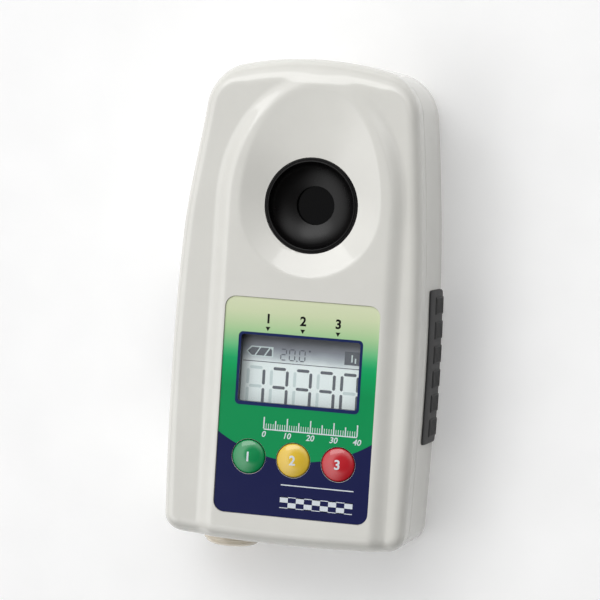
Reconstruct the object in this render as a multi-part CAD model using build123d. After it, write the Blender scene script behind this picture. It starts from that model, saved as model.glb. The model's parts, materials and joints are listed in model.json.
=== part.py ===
"""Pocket digital refractometer: a hand-held case with a sample well, a display, three buttons and a battery tube.

Frame, in millimetres: the case lies on its flat back. +X is to the right and +Y runs towards the
sample-well end, as seen from the display face; +Z comes out of that face. The origin is the centre of the back.
"""
import os
from math import dist, sqrt

from build123d import *

# Case shell
case_length = 135.0
case_width = 70.6            # at its widest, 47.5 from the battery end
case_depth = 31.5            # from the back to the top of the raised spine
wall = 2.2
bottom_corner = 7.0          # plan corner at the battery end
top_corner = 13.5            # plan corner at the well end
bow_start = 47.5             # the case is widest this far from the battery end
bow_radius = 620.0           # sides from there to the well end
low_bow_radius = 1300.0      # sides from there to the battery end
end_arc_radius = 92.0        # shallow arc of the well end
foot_arc_radius = 480.0      # shallow arc of the battery end
front_round = 3.2            # edge between the face and the sides
back_round = 2.5
floor_round = 1.5
end_round = 6.5              # the spine rolls over the battery end with this radius
top_round = 5.0              # the face rolls over the well end with this radius
front_depth = 9.5            # height of the front housing, from the seam to the top of the spine
seam_groove_width = 0.8
seam_groove_depth = 0.7
fit_gap = 0.1                # between pieces that are assembled once and don't move
touch_gap = 0.02             # between a screw and the hole that it cuts

# Raised spine of the face, and the spoon-shaped dish in it
axis_x = 2.55                # the spine, display, buttons and well share this line, right of the case's middle
spine_half_width = 24.9      # at the middle of its sloping edge
spine_height = 1.8
spine_slope_run = 2.8        # width of the sloping edge, seen from the front
crest_round = 2.5            # softens the top of the sloping edge
well_from_top = 40.3         # well end of the case to the middle of the well
arch_rise = 34.5             # from the well's centre to the top of the spine's arch
dish_radius = 20.0
dish_rise = 32.0             # from the well's centre to the top of the dish
dish_depth = 2.35
dish_mid_depth = 1.3

# Label and display
label_width = 44.0
label_height = 60.1
label_corner = 3.0
label_from_end = 8.4         # battery end of the case to the label
label_thickness = 0.25
label_recess = 0.6
window_width = 34.0
window_height = 18.6
window_from_end = 48.9       # battery end of the case to the middle of the window
window_border = 1.6          # the clear window laps the housing by this much
window_thickness = 1.0
pocket_wall = 1.5            # housing thickness under the label
lcd_glass_width = 38.6
lcd_glass_height = 24.2
lcd_glass_thickness = 2.2
lcd_frame_wall = 2.2
lcd_frame_lip = 0.6
contact_strip_height = 1.8
contact_strip_width = 2.0

# Buttons and the switches under them
button_diameter = 9.4
button_spacing = 12.8
button_from_end = 24.35      # battery end of the case to the row of buttons
button_dome = 1.1            # how far the dome stands above the label
button_travel = 0.5
button_gap = 0.15            # radial gap between a button and its hole
button_flange = 0.8
button_flange_thickness = 1.2
flange_gap = 0.2
switch_size = 6.0
switch_height = 3.5
plunger_radius = 1.75
plunger_gap = 0.05
plunger_depth = 3.0

# Main board
board_thickness = 1.6
board_half_width = 22.5
board_end_gap = 0.8
board_reach = 75.5           # battery end of the case to the far end of the board
post_radius = 2.2
post_x = 20.5                # from the shared axis
post_from_end = (6.0, 72.5)  # battery end of the case to the two rows of posts
board_screw_radius = 1.0
board_screw_length = 5.0

processor_size = 12.0
processor_height = 1.4
processor_shift = 3.0
small_head_radius = 1.9      # pan heads of the board and optics screws
small_head_height = 1.2
optics_screw_bite = 2.2

# Sample well and the optics under it
well_radius = 13.2
well_flange = 1.6
well_body_radius = 12.2
well_rim_round = 1.1
well_hole_radius = 5.4
well_depth = 5.1             # rim to the edge of the hole over the prism
well_lip = 0.6
rim_below_face = 2.2
collar_wall = 2.2
collar_end_gap = 0.3
seal_cord = 0.96             # diameter of the well seal
prism_seal_thickness = 0.4
prism_seal_radius = 8.0
prism_length = 18.0          # along Y at its top face
prism_base = 9.0             # along Y at its bottom face
prism_width = 12.0
prism_height = 8.5
optics_half_x = 13.4
optics_half_y = 17.0
optics_flange = 3.0
optics_core_half_x = 8.5
optics_height = 18.0
optics_screw_x = 11.0
optics_screw_y = 14.4
beam_drop = 4.6              # from the prism's top face to the light path
beam_radius = 2.0
lens_radius = 3.0
lens_thickness = 2.0
lens_from_face = 3.0         # lens to the outer face of the optics block
lamp_radius = 1.5
lamp_board_size = 9.0
sensor_board_width = 20.0
sensor_board_height = 14.0
small_board_thickness = 1.0
sensor_width = 9.0
sensor_height = 3.6
sensor_thickness = 1.6
probe_radius = 0.9
probe_length = 5.0
ribbon_width = 4.5
ribbon_thickness = 0.2
ribbon_offset = 7.2          # the ribbon passes beside the light sensor

# Battery tube, cells and screw cap
tube_from_side = 16.8        # left side of the case to the middle of the tube
tube_z = 13.0
cell_radius = 5.25
cell_length = 43.7
cell_nub_radius = 1.9
cell_nub = 0.8
cell_gap = 0.35              # radial gap between a cell and the tube
tube_wall = 1.0
tube_end_wall = 2.0
neck_radius = 7.9
neck_length = 8.5            # from the case's end wall to the tube's shoulder
mouth_radius = 7.05
contact_thickness = 0.4
spring_length = 3.6
spring_radius = 3.6
spring_wire = 0.35
spring_turns = 3.5
cap_radius = 8.15
cap_height = 3.3
cap_skirt = 1.4              # straight part of the cap's head, before its dome
cap_gap = 0.2
cap_slot_width = 1.8
cap_slot_depth = 1.6
cap_slot_length = 12.5
bore_radius = 6.4
screw_gap = 0.1              # radial running gap between the cap's spigot and the neck
cap_seal_cord = 0.7
disc_radius = 6.0
disc_thickness = 0.5
stem_radius = 1.0
stem_length = 3.0
stem_gap = 0.05
strip_width = 2.4
strip_length = 12.0
lead_radius = 0.6
lead_drop = 1.8              # the leads run this far below the board
positive_lead_end = 69.5     # battery end of the case to where the positive lead meets the board
positive_lead_bend = 81.5
lead_shift = 5.0

# Grips
grip_from_end = 30.0         # battery end of the case to the grips
grip_length = 43.4
grip_low_z = 3.0
grip_high_z = 17.5
grip_proud = 0.9
grip_inset = 0.8
grip_blocks = 6
block_height = 0.4
block_share = 0.8            # share of the pitch that a raised block takes

# Case screws
boss_radius = 3.2
low_screw_in = (5.45, 17.5)  # from the side and from the battery end
high_screw_in = (12.25, 11.5)  # from the side and from the well end
case_screw_radius = 1.25
case_screw_length = 18.0
case_head_radius = 2.2
case_head_height = 1.5
case_head_recess = 8.0

# Levels and places that follow from the sizes above
half_length = case_length / 2
half_width = case_width / 2
seam_z = case_depth - front_depth
well_y = half_length - well_from_top
window_y = -half_length + window_from_end
button_y = -half_length + button_from_end
board_top_y = -half_length + board_reach
post_y = [-half_length + reach for reach in post_from_end]
tube_x = -half_width + tube_from_side
grip_low_y = -half_length + grip_from_end
grip_high_y = grip_low_y + grip_length
low_screw = (half_width - low_screw_in[0], -half_length + low_screw_in[1])
high_screw = (half_width - high_screw_in[0], half_length - high_screw_in[1])
bow_y = bow_start - half_length
shoulder_z = case_depth - spine_height
face_floor_z = case_depth - label_recess
label_top_z = face_floor_z + label_thickness
label_y = -half_length + label_from_end + label_height / 2
pocket_z = face_floor_z - pocket_wall
ceiling_z = shoulder_z - 2.6
window_z = pocket_z - window_thickness
glass_z = window_z - lcd_frame_lip - lcd_glass_thickness
board_z = glass_z - contact_strip_height
board_under_z = board_z - board_thickness
rim_z = case_depth - rim_below_face
flange_z = rim_z - well_flange
well_foot_z = rim_z - well_depth - well_lip
prism_z = well_foot_z - prism_seal_thickness
optics_z = prism_z
beam_z = prism_z - beam_drop
dish_floor_z = case_depth - dish_depth
inner_end_y = -half_length + wall
shoulder_y = inner_end_y + neck_length
disc_y = shoulder_y - contact_thickness - disc_thickness
cell_y = disc_y + disc_thickness + spring_length
contact_y = cell_y + 2 * (cell_length + cell_nub)
tube_radius = cell_radius + cell_gap + tube_wall
flange_top_z = pocket_z - flange_gap
button_foot_z = flange_top_z - button_flange_thickness
button_xs = [axis_x + step * button_spacing for step in (-1, 0, 1)]
saddle_ys = (shoulder_y + 17.0, contact_y - 15.0)
board_posts = [(axis_x + side * post_x, y) for y in post_y for side in (-1, 1)]
case_screw_spots = [(side * x, y) for x, y in (low_screw, high_screw) for side in (-1, 1)]
optics_screw_spots = [(axis_x + a * optics_screw_x, well_y + b * optics_screw_y) for a in (-1, 1) for b in (-1, 1)]


def block(low, high):
    """A box between two corners."""
    size = [b - a for a, b in zip(low, high)]
    middle = [(a + b) / 2 for a, b in zip(low, high)]
    return Pos(*middle) * Box(*size)


def post(x, y, low, high, radius):
    """An upright cylinder."""
    return Pos(x, y, (low + high) / 2) * Cylinder(radius, high - low)


def along_y(x, z, low, high, radius):
    """A cylinder along the length of the case."""
    return Pos(x, (low + high) / 2, z) * Rot(90, 0, 0) * Cylinder(radius, high - low)


def turned(points, x, y):
    """A piece turned about an upright axis, from its section of (radius, height) points."""
    section = make_face(Polyline(*[(r, 0, z) for r, z in points], close=True))
    return Pos(x, y, 0) * revolve(section, Axis.Z)


def turned_y(points, x, z):
    """A piece turned about an axis along Y, from its section of (radius, y) points."""
    section = make_face(Polyline(*[(r, y) for r, y in points], close=True))
    return Pos(x, 0, z) * revolve(section, Axis.Y)


def meet(first, first_reach, second, second_reach, side):
    """The point at one distance from the first centre and another from the second, left or right of their line."""
    span = dist(first, second)
    ux, uy = (second[0] - first[0]) / span, (second[1] - first[1]) / span
    along = (first_reach ** 2 - second_reach ** 2 + span ** 2) / (2 * span)
    across = side * sqrt(first_reach ** 2 - along ** 2)
    return first[0] + along * ux - across * uy, first[1] + along * uy + across * ux


def towards(centre, point, radius):
    """The point of a circle that lies in another point's direction."""
    scale = radius / dist(centre, point)
    return centre[0] + (point[0] - centre[0]) * scale, centre[1] + (point[1] - centre[1]) * scale


def plan(inset=0.0):
    """The case outline seen from the front, moved inwards by inset: bowed sides, shallow end arcs, round corners."""
    arcs = []
    corners = ((bow_radius, half_length - end_arc_radius, end_arc_radius, top_corner, 1),
               (low_bow_radius, foot_arc_radius - half_length, foot_arc_radius, bottom_corner, -1))
    for side_radius, end_centre, end_radius, corner, up in corners:
        side_centre = (half_width - side_radius, bow_y)
        middle = (0, end_centre)
        corner_centre = meet(side_centre, side_radius - corner, middle, end_radius - corner, up)
        start = (half_width - inset, bow_y)
        leave = towards(side_centre, corner_centre, side_radius - inset)
        reach = towards(middle, corner_centre, end_radius - inset)
        side_mid = towards(side_centre, ((start[0] + leave[0]) / 2, (start[1] + leave[1]) / 2), side_radius - inset)
        chord = ((leave[0] + reach[0]) / 2, (leave[1] + reach[1]) / 2)
        corner_mid = towards(corner_centre, chord, corner - inset)
        for flip in (1, -1):
            path = [(flip * x, y) for x, y in (start, side_mid, leave, corner_mid, reach)]
            arcs += [ThreePointArc(*path[:3]), ThreePointArc(*path[2:])]
        arcs.append(ThreePointArc(reach, (0, up * (half_length - inset)), (-reach[0], reach[1])))
    return Sketch() + make_face(Wire(arcs))


def spine_outline(half_width):
    """The spine runs off the battery end and closes round the well as half an ellipse."""
    rise = arch_rise + half_width - spine_half_width
    low = -half_length - end_round
    straight = Pos(axis_x, (low + well_y) / 2) * Rectangle(2 * half_width, well_y - low)
    return straight + Pos(axis_x, well_y) * Ellipse(half_width, rise)


def spoon(half_width, rise):
    """A half circle below the well's centre, and half an ellipse above it."""
    with BuildLine() as edge:
        EllipticalCenterArc((axis_x, well_y), half_width, half_width, 180, arc_size=180)
        EllipticalCenterArc((axis_x, well_y), half_width, rise, 0, arc_size=180)
    return make_face(edge.line)


def roll_block(height):
    """A block as long as the case, with its two top ends rounded over."""
    roll = block((-case_width, -half_length, -1), (case_width, half_length, height))
    ends = roll.edges().filter_by(Axis.X).group_by(Axis.Z)[-1].sort_by(Axis.Y)
    roll = fillet(ends[0], end_round)
    ends = roll.edges().filter_by(Axis.X).group_by(Axis.Z)[-1].sort_by(Axis.Y)
    return fillet(ends[-1], top_round)


def outer_body():
    """The whole case as one solid: flat shoulders, rounded edges and the raised spine."""
    body = extrude(plan(), shoulder_z)
    body = fillet(body.edges().group_by(Axis.Z)[-1], front_round)
    body = fillet(body.edges().group_by(Axis.Z)[0], back_round)
    body &= roll_block(shoulder_z)
    wide = spine_half_width + spine_slope_run / 2
    narrow = spine_half_width - spine_slope_run / 2
    foot = extrude(Pos(0, 0, shoulder_z - 8) * spine_outline(wide), 8)
    slope = loft([Pos(0, 0, shoulder_z) * spine_outline(wide), Pos(0, 0, case_depth) * spine_outline(narrow)], ruled=True)
    crest = [e for e in slope.edges().group_by(Axis.Z)[-1] if e.center().Y > -half_length]
    slope = fillet(crest, crest_round)
    return body + ((foot + slope) & roll_block(case_depth))


def dish_cut():
    """The spoon-shaped hollow round the well: steep at its edge, flatter towards the well."""
    rim = spoon(dish_radius, dish_rise)
    middle = spoon((dish_radius + well_radius) / 2, (dish_rise + well_radius) / 2)
    floor = spoon(well_radius, well_radius)
    bowl = loft([Pos(0, 0, dish_floor_z) * floor, Pos(0, 0, case_depth - dish_mid_depth) * middle,
                 Pos(0, 0, case_depth) * rim])
    return bowl + extrude(Pos(0, 0, case_depth) * rim, 1)


def grip_zone(inner, outer, side, low_y, high_y, low_z, high_z):
    """The part of a band round the outline that a grip, or a block on it, takes."""
    band = extrude(plan(-outer), case_depth) - extrude(plan(inner), case_depth)
    reach = half_width + 5
    window = block((0, low_y, low_z), (reach, high_y, high_z))
    return band & (window if side > 0 else mirror(window, Plane.YZ))


def front_housing(body):
    """Shallow front shell: face, label recess, posts for the board and optics, and the collar of the well."""
    top = block((-case_width, -case_length, seam_z), (case_width, case_length, case_depth + 1))
    shell = body & top
    room = extrude(Pos(0, 0, seam_z - 1) * plan(wall), ceiling_z - seam_z + 1)
    shell -= fillet(room.edges().group_by(Axis.Z)[-1], 3.0)
    pocket_end = inner_end_y + 2.0
    shell -= block((axis_x - board_half_width, pocket_end, ceiling_z - 1), (axis_x + board_half_width, board_top_y, pocket_z))
    shell -= dish_cut()
    for x, y in case_screw_spots:
        boss = post(x, y, seam_z, ceiling_z + 0.5, boss_radius)
        shell += boss & extrude(plan(wall / 2), case_depth)
    for x, y in board_posts:
        shell += post(x, y, board_z, pocket_z + 0.5, post_radius)
    for x, y in optics_screw_spots:
        shell += post(x, y, optics_z, ceiling_z + 0.5, post_radius)
    collar_foot = well_foot_z + collar_end_gap
    shell += post(axis_x, well_y, collar_foot, ceiling_z + 0.5, well_body_radius + fit_gap + collar_wall)
    shell -= post(axis_x, well_y, 0, case_depth, well_body_radius + fit_gap)
    shell -= post(axis_x, well_y, flange_z, case_depth, well_radius + fit_gap)
    for x, y in case_screw_spots:
        shell -= post(x, y, 0, case_head_recess + case_screw_length + 1, case_screw_radius + touch_gap)
    for x, y in board_posts:
        shell -= post(x, y, 0, board_z + board_screw_length - board_thickness + 0.5, board_screw_radius + touch_gap)
    for x, y in optics_screw_spots:
        shell -= post(x, y, 0, optics_z + optics_screw_bite + 0.3, board_screw_radius + touch_gap)
    recess = RectangleRounded(label_width + 2 * fit_gap, label_height + 2 * fit_gap, label_corner + fit_gap)
    shell -= extrude(Pos(axis_x, label_y, face_floor_z) * recess, label_recess + 1)
    window = RectangleRounded(window_width, window_height, 0.8)
    shell -= extrude(Pos(axis_x, window_y, pocket_z - 1) * window, 4)
    for x in button_xs:
        shell -= post(x, button_y, pocket_z - 1, case_depth, button_diameter / 2 + button_gap)
    return shell


def rear_housing(body):
    """Deep back tub with the battery mouth, the seam groove, the screw posts and two saddles under the tube."""
    low = block((-case_width, -case_length, -1), (case_width, case_length, seam_z))
    tray = body & low
    room = extrude(Pos(0, 0, wall) * plan(wall), case_depth)
    tray -= fillet(room.edges().group_by(Axis.Z)[0], floor_round)
    tray -= seam_ring(0.0)
    tray -= along_y(tube_x, tube_z, -case_length, inner_end_y + 0.5, mouth_radius + fit_gap)
    tray -= along_y(tube_x, tube_z, inner_end_y, shoulder_y, neck_radius + fit_gap)
    for side in (-1, 1):
        tray -= grip_zone(grip_inset, 6, side, grip_low_y, grip_high_y, grip_low_z, grip_high_z)
    for x, y in case_screw_spots:
        seat = post(x, y, 0.5, seam_z, boss_radius)
        tray += seat & extrude(plan(wall / 2), case_depth)
    for y in saddle_ys:
        saddle = block((tube_x - tube_radius, y - 1, wall - 0.2), (tube_x + tube_radius, y + 1, tube_z - 2))
        tray += saddle - along_y(tube_x, tube_z, y - 2, y + 2, tube_radius + fit_gap)
    for x, y in case_screw_spots:
        tray -= post(x, y, -1, case_depth, case_screw_radius + fit_gap)
        tray -= post(x, y, -1, case_head_recess, case_head_radius + fit_gap)
    return tray


def seam_ring(gap):
    """The groove of the seam seal, or the seal itself, in the middle of the wall."""
    near = (wall - seam_groove_width) / 2
    low = seam_z - seam_groove_depth
    ring = plan(near + gap) - plan(near + seam_groove_width - gap)
    return extrude(Pos(0, 0, low) * ring, seam_groove_depth)


def screw(x, y, under_head, length, radius, head_radius, head_height):
    """A pan-head screw driven upwards, with a cross recess in its head."""
    body = post(x, y, under_head - head_height, under_head, head_radius)
    body = fillet(body.edges().group_by(Axis.Z)[0], head_height * 0.45)
    body += post(x, y, under_head, under_head + length, radius)
    tip = body.edges().group_by(Axis.Z)[-1]
    body = chamfer(tip, radius * 0.4)
    reach = head_radius * 0.6
    width = head_radius * 0.16
    low = under_head - head_height
    for across, along in ((reach, width), (width, reach)):
        body -= block((x - across, y - along, low), (x + across, y + along, low + head_height * 0.5))
    return body


def grip(side):
    """Soft pad on the side wall, with a row of raised blocks."""
    pad = grip_zone(grip_inset, grip_proud, side, grip_low_y + fit_gap, grip_high_y - fit_gap,
                    grip_low_z + fit_gap, grip_high_z - fit_gap)
    pitch = (grip_high_y - grip_low_y - 2) / grip_blocks
    for count in range(grip_blocks):
        low = grip_low_y + 1 + pitch * (count + (1 - block_share) / 2)
        pad += grip_zone(-grip_proud + 0.5, grip_proud + block_height, side, low, low + pitch * block_share,
                         grip_low_z + 0.8, grip_high_z - 0.8)
    return pad


def display_label():
    """Printed overlay with the display opening and the button holes."""
    sheet = RectangleRounded(label_width, label_height, label_corner)
    label = extrude(Pos(axis_x, label_y, face_floor_z) * sheet, label_thickness)
    opening = RectangleRounded(window_width, window_height, 0.8)
    label -= extrude(Pos(axis_x, window_y, 0) * opening, case_depth + 1)
    for x in button_xs:
        label -= post(x, button_y, 0, case_depth + 1, button_diameter / 2 + button_gap + fit_gap)
    return label


def display_stack():
    """Clear window, glass, holder and the two rubber strips that join the glass to the board."""
    def slab(width, height, low, high):
        return block((axis_x - width / 2, window_y - height / 2, low), (axis_x + width / 2, window_y + height / 2, high))

    window = slab(window_width + 2 * window_border, window_height + 2 * window_border, window_z, pocket_z)
    glass = slab(lcd_glass_width, lcd_glass_height, glass_z, glass_z + lcd_glass_thickness)
    outer_w = lcd_glass_width + 2 * lcd_frame_wall
    outer_h = lcd_glass_height + 2 * lcd_frame_wall
    holder = slab(outer_w, outer_h, board_z, window_z)
    holder -= slab(lcd_glass_width + fit_gap, lcd_glass_height + fit_gap, board_z - 1, window_z - lcd_frame_lip)
    holder -= slab(window_width + 0.6, window_height + 0.6, board_z, window_z + 1)
    strips = []
    for side in (-1, 1):
        y = window_y + side * (lcd_glass_height / 2 - contact_strip_width)
        strips.append(block((axis_x - lcd_glass_width / 2 + 1, y - contact_strip_width / 2, board_z),
                            (axis_x + lcd_glass_width / 2 - 1, y + contact_strip_width / 2, glass_z)))
    return window, glass, holder, Compound(children=strips)


def button(x):
    """Domed key with a flange that keeps it behind the housing."""
    radius = button_diameter / 2
    key = post(x, button_y, button_foot_z, flange_top_z, radius + button_flange)
    key += post(x, button_y, flange_top_z, label_top_z, radius)
    bulge = (radius ** 2 + button_dome ** 2) / (2 * button_dome)
    dome = Pos(x, button_y, label_top_z + button_dome - bulge) * Sphere(bulge)
    return key + (dome & post(x, button_y, label_top_z - 0.2, case_depth + 2, radius))


def switches():
    """Three tactile switch bodies and their plungers."""
    half = switch_size / 2
    bodies = []
    plungers = []
    for x in button_xs:
        body = block((x - half, button_y - half, board_z), (x + half, button_y + half, board_z + switch_height))
        pin_low = button_foot_z - plunger_depth
        body -= post(x, button_y, pin_low - button_travel - 0.1, case_depth, plunger_radius + plunger_gap)
        bodies.append(body)
        plungers.append(post(x, button_y, pin_low, button_foot_z, plunger_radius))
    return Compound(children=bodies), plungers


def main_board():
    """Circuit board screwed to the four posts of the housing."""
    board = block((axis_x - board_half_width + 0.3, inner_end_y + board_end_gap, board_under_z),
                  (axis_x + board_half_width - 0.3, board_top_y - 0.3, board_z))
    board = fillet(board.edges().filter_by(Axis.Z), 1.5)
    for x, y in board_posts:
        board -= post(x, y, 0, case_depth, board_screw_radius + fit_gap)
    return board


def board_parts():
    """Processor and ribbon socket on the underside of the board."""
    chip_x = axis_x + processor_shift
    chip_y = window_y - processor_size
    half = processor_size / 2
    chip = block((chip_x - half, chip_y - half, board_under_z - processor_height),
                 (chip_x + half, chip_y + half, board_under_z))
    chip = chamfer(chip.edges().group_by(Axis.Z)[0], 0.2)
    x = axis_x + ribbon_offset
    socket = block((x - ribbon_width / 2 - 1.5, board_top_y - 6, board_under_z - 2),
                   (x + ribbon_width / 2 + 1.5, board_top_y - 1, board_under_z))
    return chip, socket


def sample_well():
    """Black ring with a beaded rim and a dished funnel down to the prism."""
    inner_rim = well_radius - 1.7
    hole_z = rim_z - well_depth
    with BuildLine() as edge:
        Polyline((well_hole_radius, well_foot_z), (well_body_radius, well_foot_z), (well_body_radius, flange_z),
                 (well_radius, flange_z), (well_radius, rim_z - 0.8))
        ThreePointArc((well_radius, rim_z - 0.8), ((well_radius + inner_rim) / 2, rim_z), (inner_rim, rim_z - 0.8))
        ThreePointArc((inner_rim, rim_z - 0.8), (8.4, hole_z + 1.3), (well_hole_radius, hole_z))
        Line((well_hole_radius, hole_z), (well_hole_radius, well_foot_z))
    ring = Pos(axis_x, well_y, 0) * revolve(Plane.XZ * make_face(edge.line), Axis.Z)
    groove_z = (flange_z + well_foot_z) / 2
    groove = post(axis_x, well_y, groove_z - seal_cord * 0.6, groove_z + seal_cord * 0.6, well_body_radius + 1)
    groove -= post(axis_x, well_y, 0, case_depth, well_body_radius + fit_gap - seal_cord)
    ring -= groove
    middle = well_body_radius + fit_gap - seal_cord / 2
    seal = Pos(axis_x, well_y, groove_z) * Torus(middle, seal_cord / 2 - 0.02)
    return ring, seal


def prism_and_seal():
    """Glass prism with sloping ends, and the flat seal between it and the well."""
    with BuildLine() as edge:
        Polyline((-prism_length / 2, prism_z), (prism_length / 2, prism_z), (prism_base / 2, prism_z - prism_height),
                 (-prism_base / 2, prism_z - prism_height), close=True)
    face = Plane.YZ * make_face(edge.line)
    prism = Pos(axis_x - prism_width / 2, well_y, 0) * extrude(face, prism_width)
    ring = turned([(well_hole_radius + 0.3, prism_z), (prism_seal_radius, prism_z),
                   (prism_seal_radius, well_foot_z), (well_hole_radius + 0.3, well_foot_z)], axis_x, well_y)
    return prism, ring


def optics_block(prism):
    """Carrier of the prism: a flange screwed under the well, a core with the light path, and a probe hole."""
    low = optics_z - optics_height
    body = block((axis_x - optics_half_x, well_y - optics_half_y, optics_z - optics_flange),
                 (axis_x + optics_half_x, well_y + optics_half_y, optics_z))
    body += block((axis_x - optics_core_half_x, well_y - optics_half_y, low),
                  (axis_x + optics_core_half_x, well_y + optics_half_y, optics_z))
    body = fillet(body.edges().filter_by(Axis.Z).filter_by(lambda e: abs(e.center().X - axis_x) > 9), 2.0)
    half = prism_width / 2 + fit_gap
    grow = prism_length / 2 + fit_gap
    pocket_z_low = prism_z - prism_height
    with BuildLine() as edge:
        Polyline((-grow, prism_z + 1), (grow, prism_z + 1), (grow, prism_z),
                 (prism_base / 2 + fit_gap, pocket_z_low), (-prism_base / 2 - fit_gap, pocket_z_low),
                 (-grow, prism_z), close=True)
    pocket = Pos(axis_x - half, well_y, 0) * extrude(Plane.YZ * make_face(edge.line), 2 * half)
    body -= pocket
    end = optics_half_y + 1
    body -= along_y(axis_x, beam_z, well_y - end, well_y + end, beam_radius)
    lens_y = well_y + optics_half_y - lens_from_face
    body -= along_y(axis_x, beam_z, lens_y - lens_thickness, well_y + end, lens_radius + fit_gap)
    body -= post(axis_x, well_y, low - 1, pocket_z_low + 1, probe_radius + fit_gap)
    for x, y in optics_screw_spots:
        body -= post(x, y, 0, case_depth, board_screw_radius + fit_gap)
    return body


def optics_parts():
    """Lamp with its board and lens at the far end, sensor with its board at the near end, and the probe."""
    far_y = well_y + optics_half_y
    near_y = well_y - optics_half_y
    lens = along_y(axis_x, beam_z, far_y - lens_from_face - lens_thickness, far_y - lens_from_face, lens_radius)
    bulge = Pos(axis_x, far_y - lens_from_face - lens_thickness / 2 - 6, beam_z) * Sphere(7.0)
    lens &= bulge
    half = lamp_board_size / 2
    lamp_board = block((axis_x - half, far_y, beam_z - half), (axis_x + half, far_y + small_board_thickness, beam_z + half))
    lamp = along_y(axis_x, beam_z, far_y - 1.0, far_y, lamp_radius) + Pos(axis_x, far_y - 1.0, beam_z) * Sphere(lamp_radius)
    lamp &= block((axis_x - 5, far_y - 5, 0), (axis_x + 5, far_y, case_depth))
    sensor_board = block((axis_x - sensor_board_width / 2, near_y - small_board_thickness, beam_z - sensor_board_height / 2 - 2),
                         (axis_x + sensor_board_width / 2, near_y, beam_z + sensor_board_height / 2 - 2))
    sensor = block((axis_x - sensor_width / 2, near_y - small_board_thickness - sensor_thickness, beam_z - sensor_height / 2),
                   (axis_x + sensor_width / 2, near_y - small_board_thickness, beam_z + sensor_height / 2))
    sensor_board -= along_y(axis_x, beam_z, near_y - 3, near_y + 1, beam_radius)
    probe_top = prism_z - prism_height
    probe = post(axis_x, well_y, probe_top - probe_length, probe_top, probe_radius)
    return lens, lamp_board, lamp, sensor_board, sensor, probe


def swept(points, radii, section):
    """A wire or ribbon along straight runs joined by arcs."""
    path = FilletPolyline(*points, radius=radii)
    start = Plane(origin=path @ 0, z_dir=path % 0)
    return sweep(start * section, path=path)


def sensor_ribbon():
    """Flat cable from the foot of the sensor board up to the socket under the main board."""
    board_y = well_y - optics_half_y - small_board_thickness
    low = beam_z - sensor_board_height / 2 - 1
    socket_z = board_under_z - 1.0
    socket_y = board_top_y - 1
    slack_y = socket_y + 1.3
    with BuildLine() as edge:
        FilletPolyline((board_y, low), (slack_y, low), (slack_y, socket_z), (socket_y, socket_z), radius=[0.4, 0.4])
    strip = Plane.YZ * trace(edge.line, ribbon_thickness)
    return Pos(axis_x + ribbon_offset - ribbon_width / 2, 0, 0) * extrude(strip, ribbon_width)


def battery_tube():
    """Tube for two cells in line, with a wide neck at its mouth and a closed inner end."""
    inner = cell_radius + cell_gap
    end_y = contact_y + contact_thickness
    tube = turned_y([(0, end_y + tube_end_wall), (tube_radius, end_y + tube_end_wall), (tube_radius, shoulder_y + 2),
                     (neck_radius, shoulder_y + 2), (neck_radius, inner_end_y), (mouth_radius, inner_end_y),
                     (mouth_radius, -half_length), (bore_radius, -half_length), (bore_radius, shoulder_y),
                     (inner, shoulder_y), (inner, end_y), (0, end_y)], tube_x, tube_z)
    slot = strip_width / 2 + fit_gap
    tube -= block((tube_x - slot, shoulder_y - contact_thickness - fit_gap, tube_z + 5),
                  (tube_x + slot, shoulder_y + fit_gap, tube_z + neck_radius + 1))
    tube -= block((tube_x - slot, end_y - contact_thickness - fit_gap, tube_z + 4),
                  (tube_x + slot, end_y, tube_z + tube_radius + 1))
    return tube


def cell(low):
    """One AAA cell with its positive nub towards the inner end of the tube."""
    points = [(0, low), (cell_radius - 0.4, low), (cell_radius, low + 0.4), (cell_radius, low + cell_length - 0.6),
              (cell_radius - 0.6, low + cell_length), (cell_nub_radius, low + cell_length),
              (cell_nub_radius, low + cell_length + cell_nub), (0, low + cell_length + cell_nub)]
    return turned_y(points, tube_x, tube_z)


def battery_contacts():
    """Positive plate at the inner end and negative ring at the neck, each with a tab for its lead."""
    half = strip_width / 2
    plate = along_y(tube_x, tube_z, contact_y, contact_y + contact_thickness, cell_radius)
    plate += block((tube_x - half, contact_y, tube_z), (tube_x + half, contact_y + contact_thickness, tube_z + tube_radius + 1))
    low = shoulder_y - contact_thickness
    ring = along_y(tube_x, tube_z, low, shoulder_y, bore_radius - fit_gap)
    ring += block((tube_x - half, low, tube_z + 5), (tube_x + half, shoulder_y, tube_z + neck_radius + contact_thickness))
    ring -= along_y(tube_x, tube_z, low - 1, shoulder_y + 1, cell_radius + cell_gap)
    top = tube_z + neck_radius
    ring += block((tube_x - half, low, top), (tube_x + half, low + 3, top + contact_thickness))
    return plate, ring


def battery_leads():
    """Insulated leads from the two battery contacts up to the underside of the main board."""
    section = Circle(lead_radius)
    start = (tube_x, contact_y - lead_radius, tube_z + tube_radius + 0.1 + lead_radius)
    run_z = board_under_z - lead_drop
    end = (tube_x + lead_shift, -half_length + positive_lead_end)
    bend = (tube_x, -half_length + positive_lead_bend, start[2])
    positive = swept([start, bend, (*end, run_z), (*end, board_under_z)], [3.0, 0.8], section)
    low_y = shoulder_y - contact_thickness + 3
    low_z = tube_z + neck_radius + contact_thickness - lead_radius
    negative = swept([(tube_x, low_y, low_z), (tube_x, low_y + 4.0, low_z), (tube_x + 3.0, low_y + 7.0, low_z),
                      (tube_x + 3.0, low_y + 7.0, board_under_z)], [1.6, 0.7], section)
    return positive, negative


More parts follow.
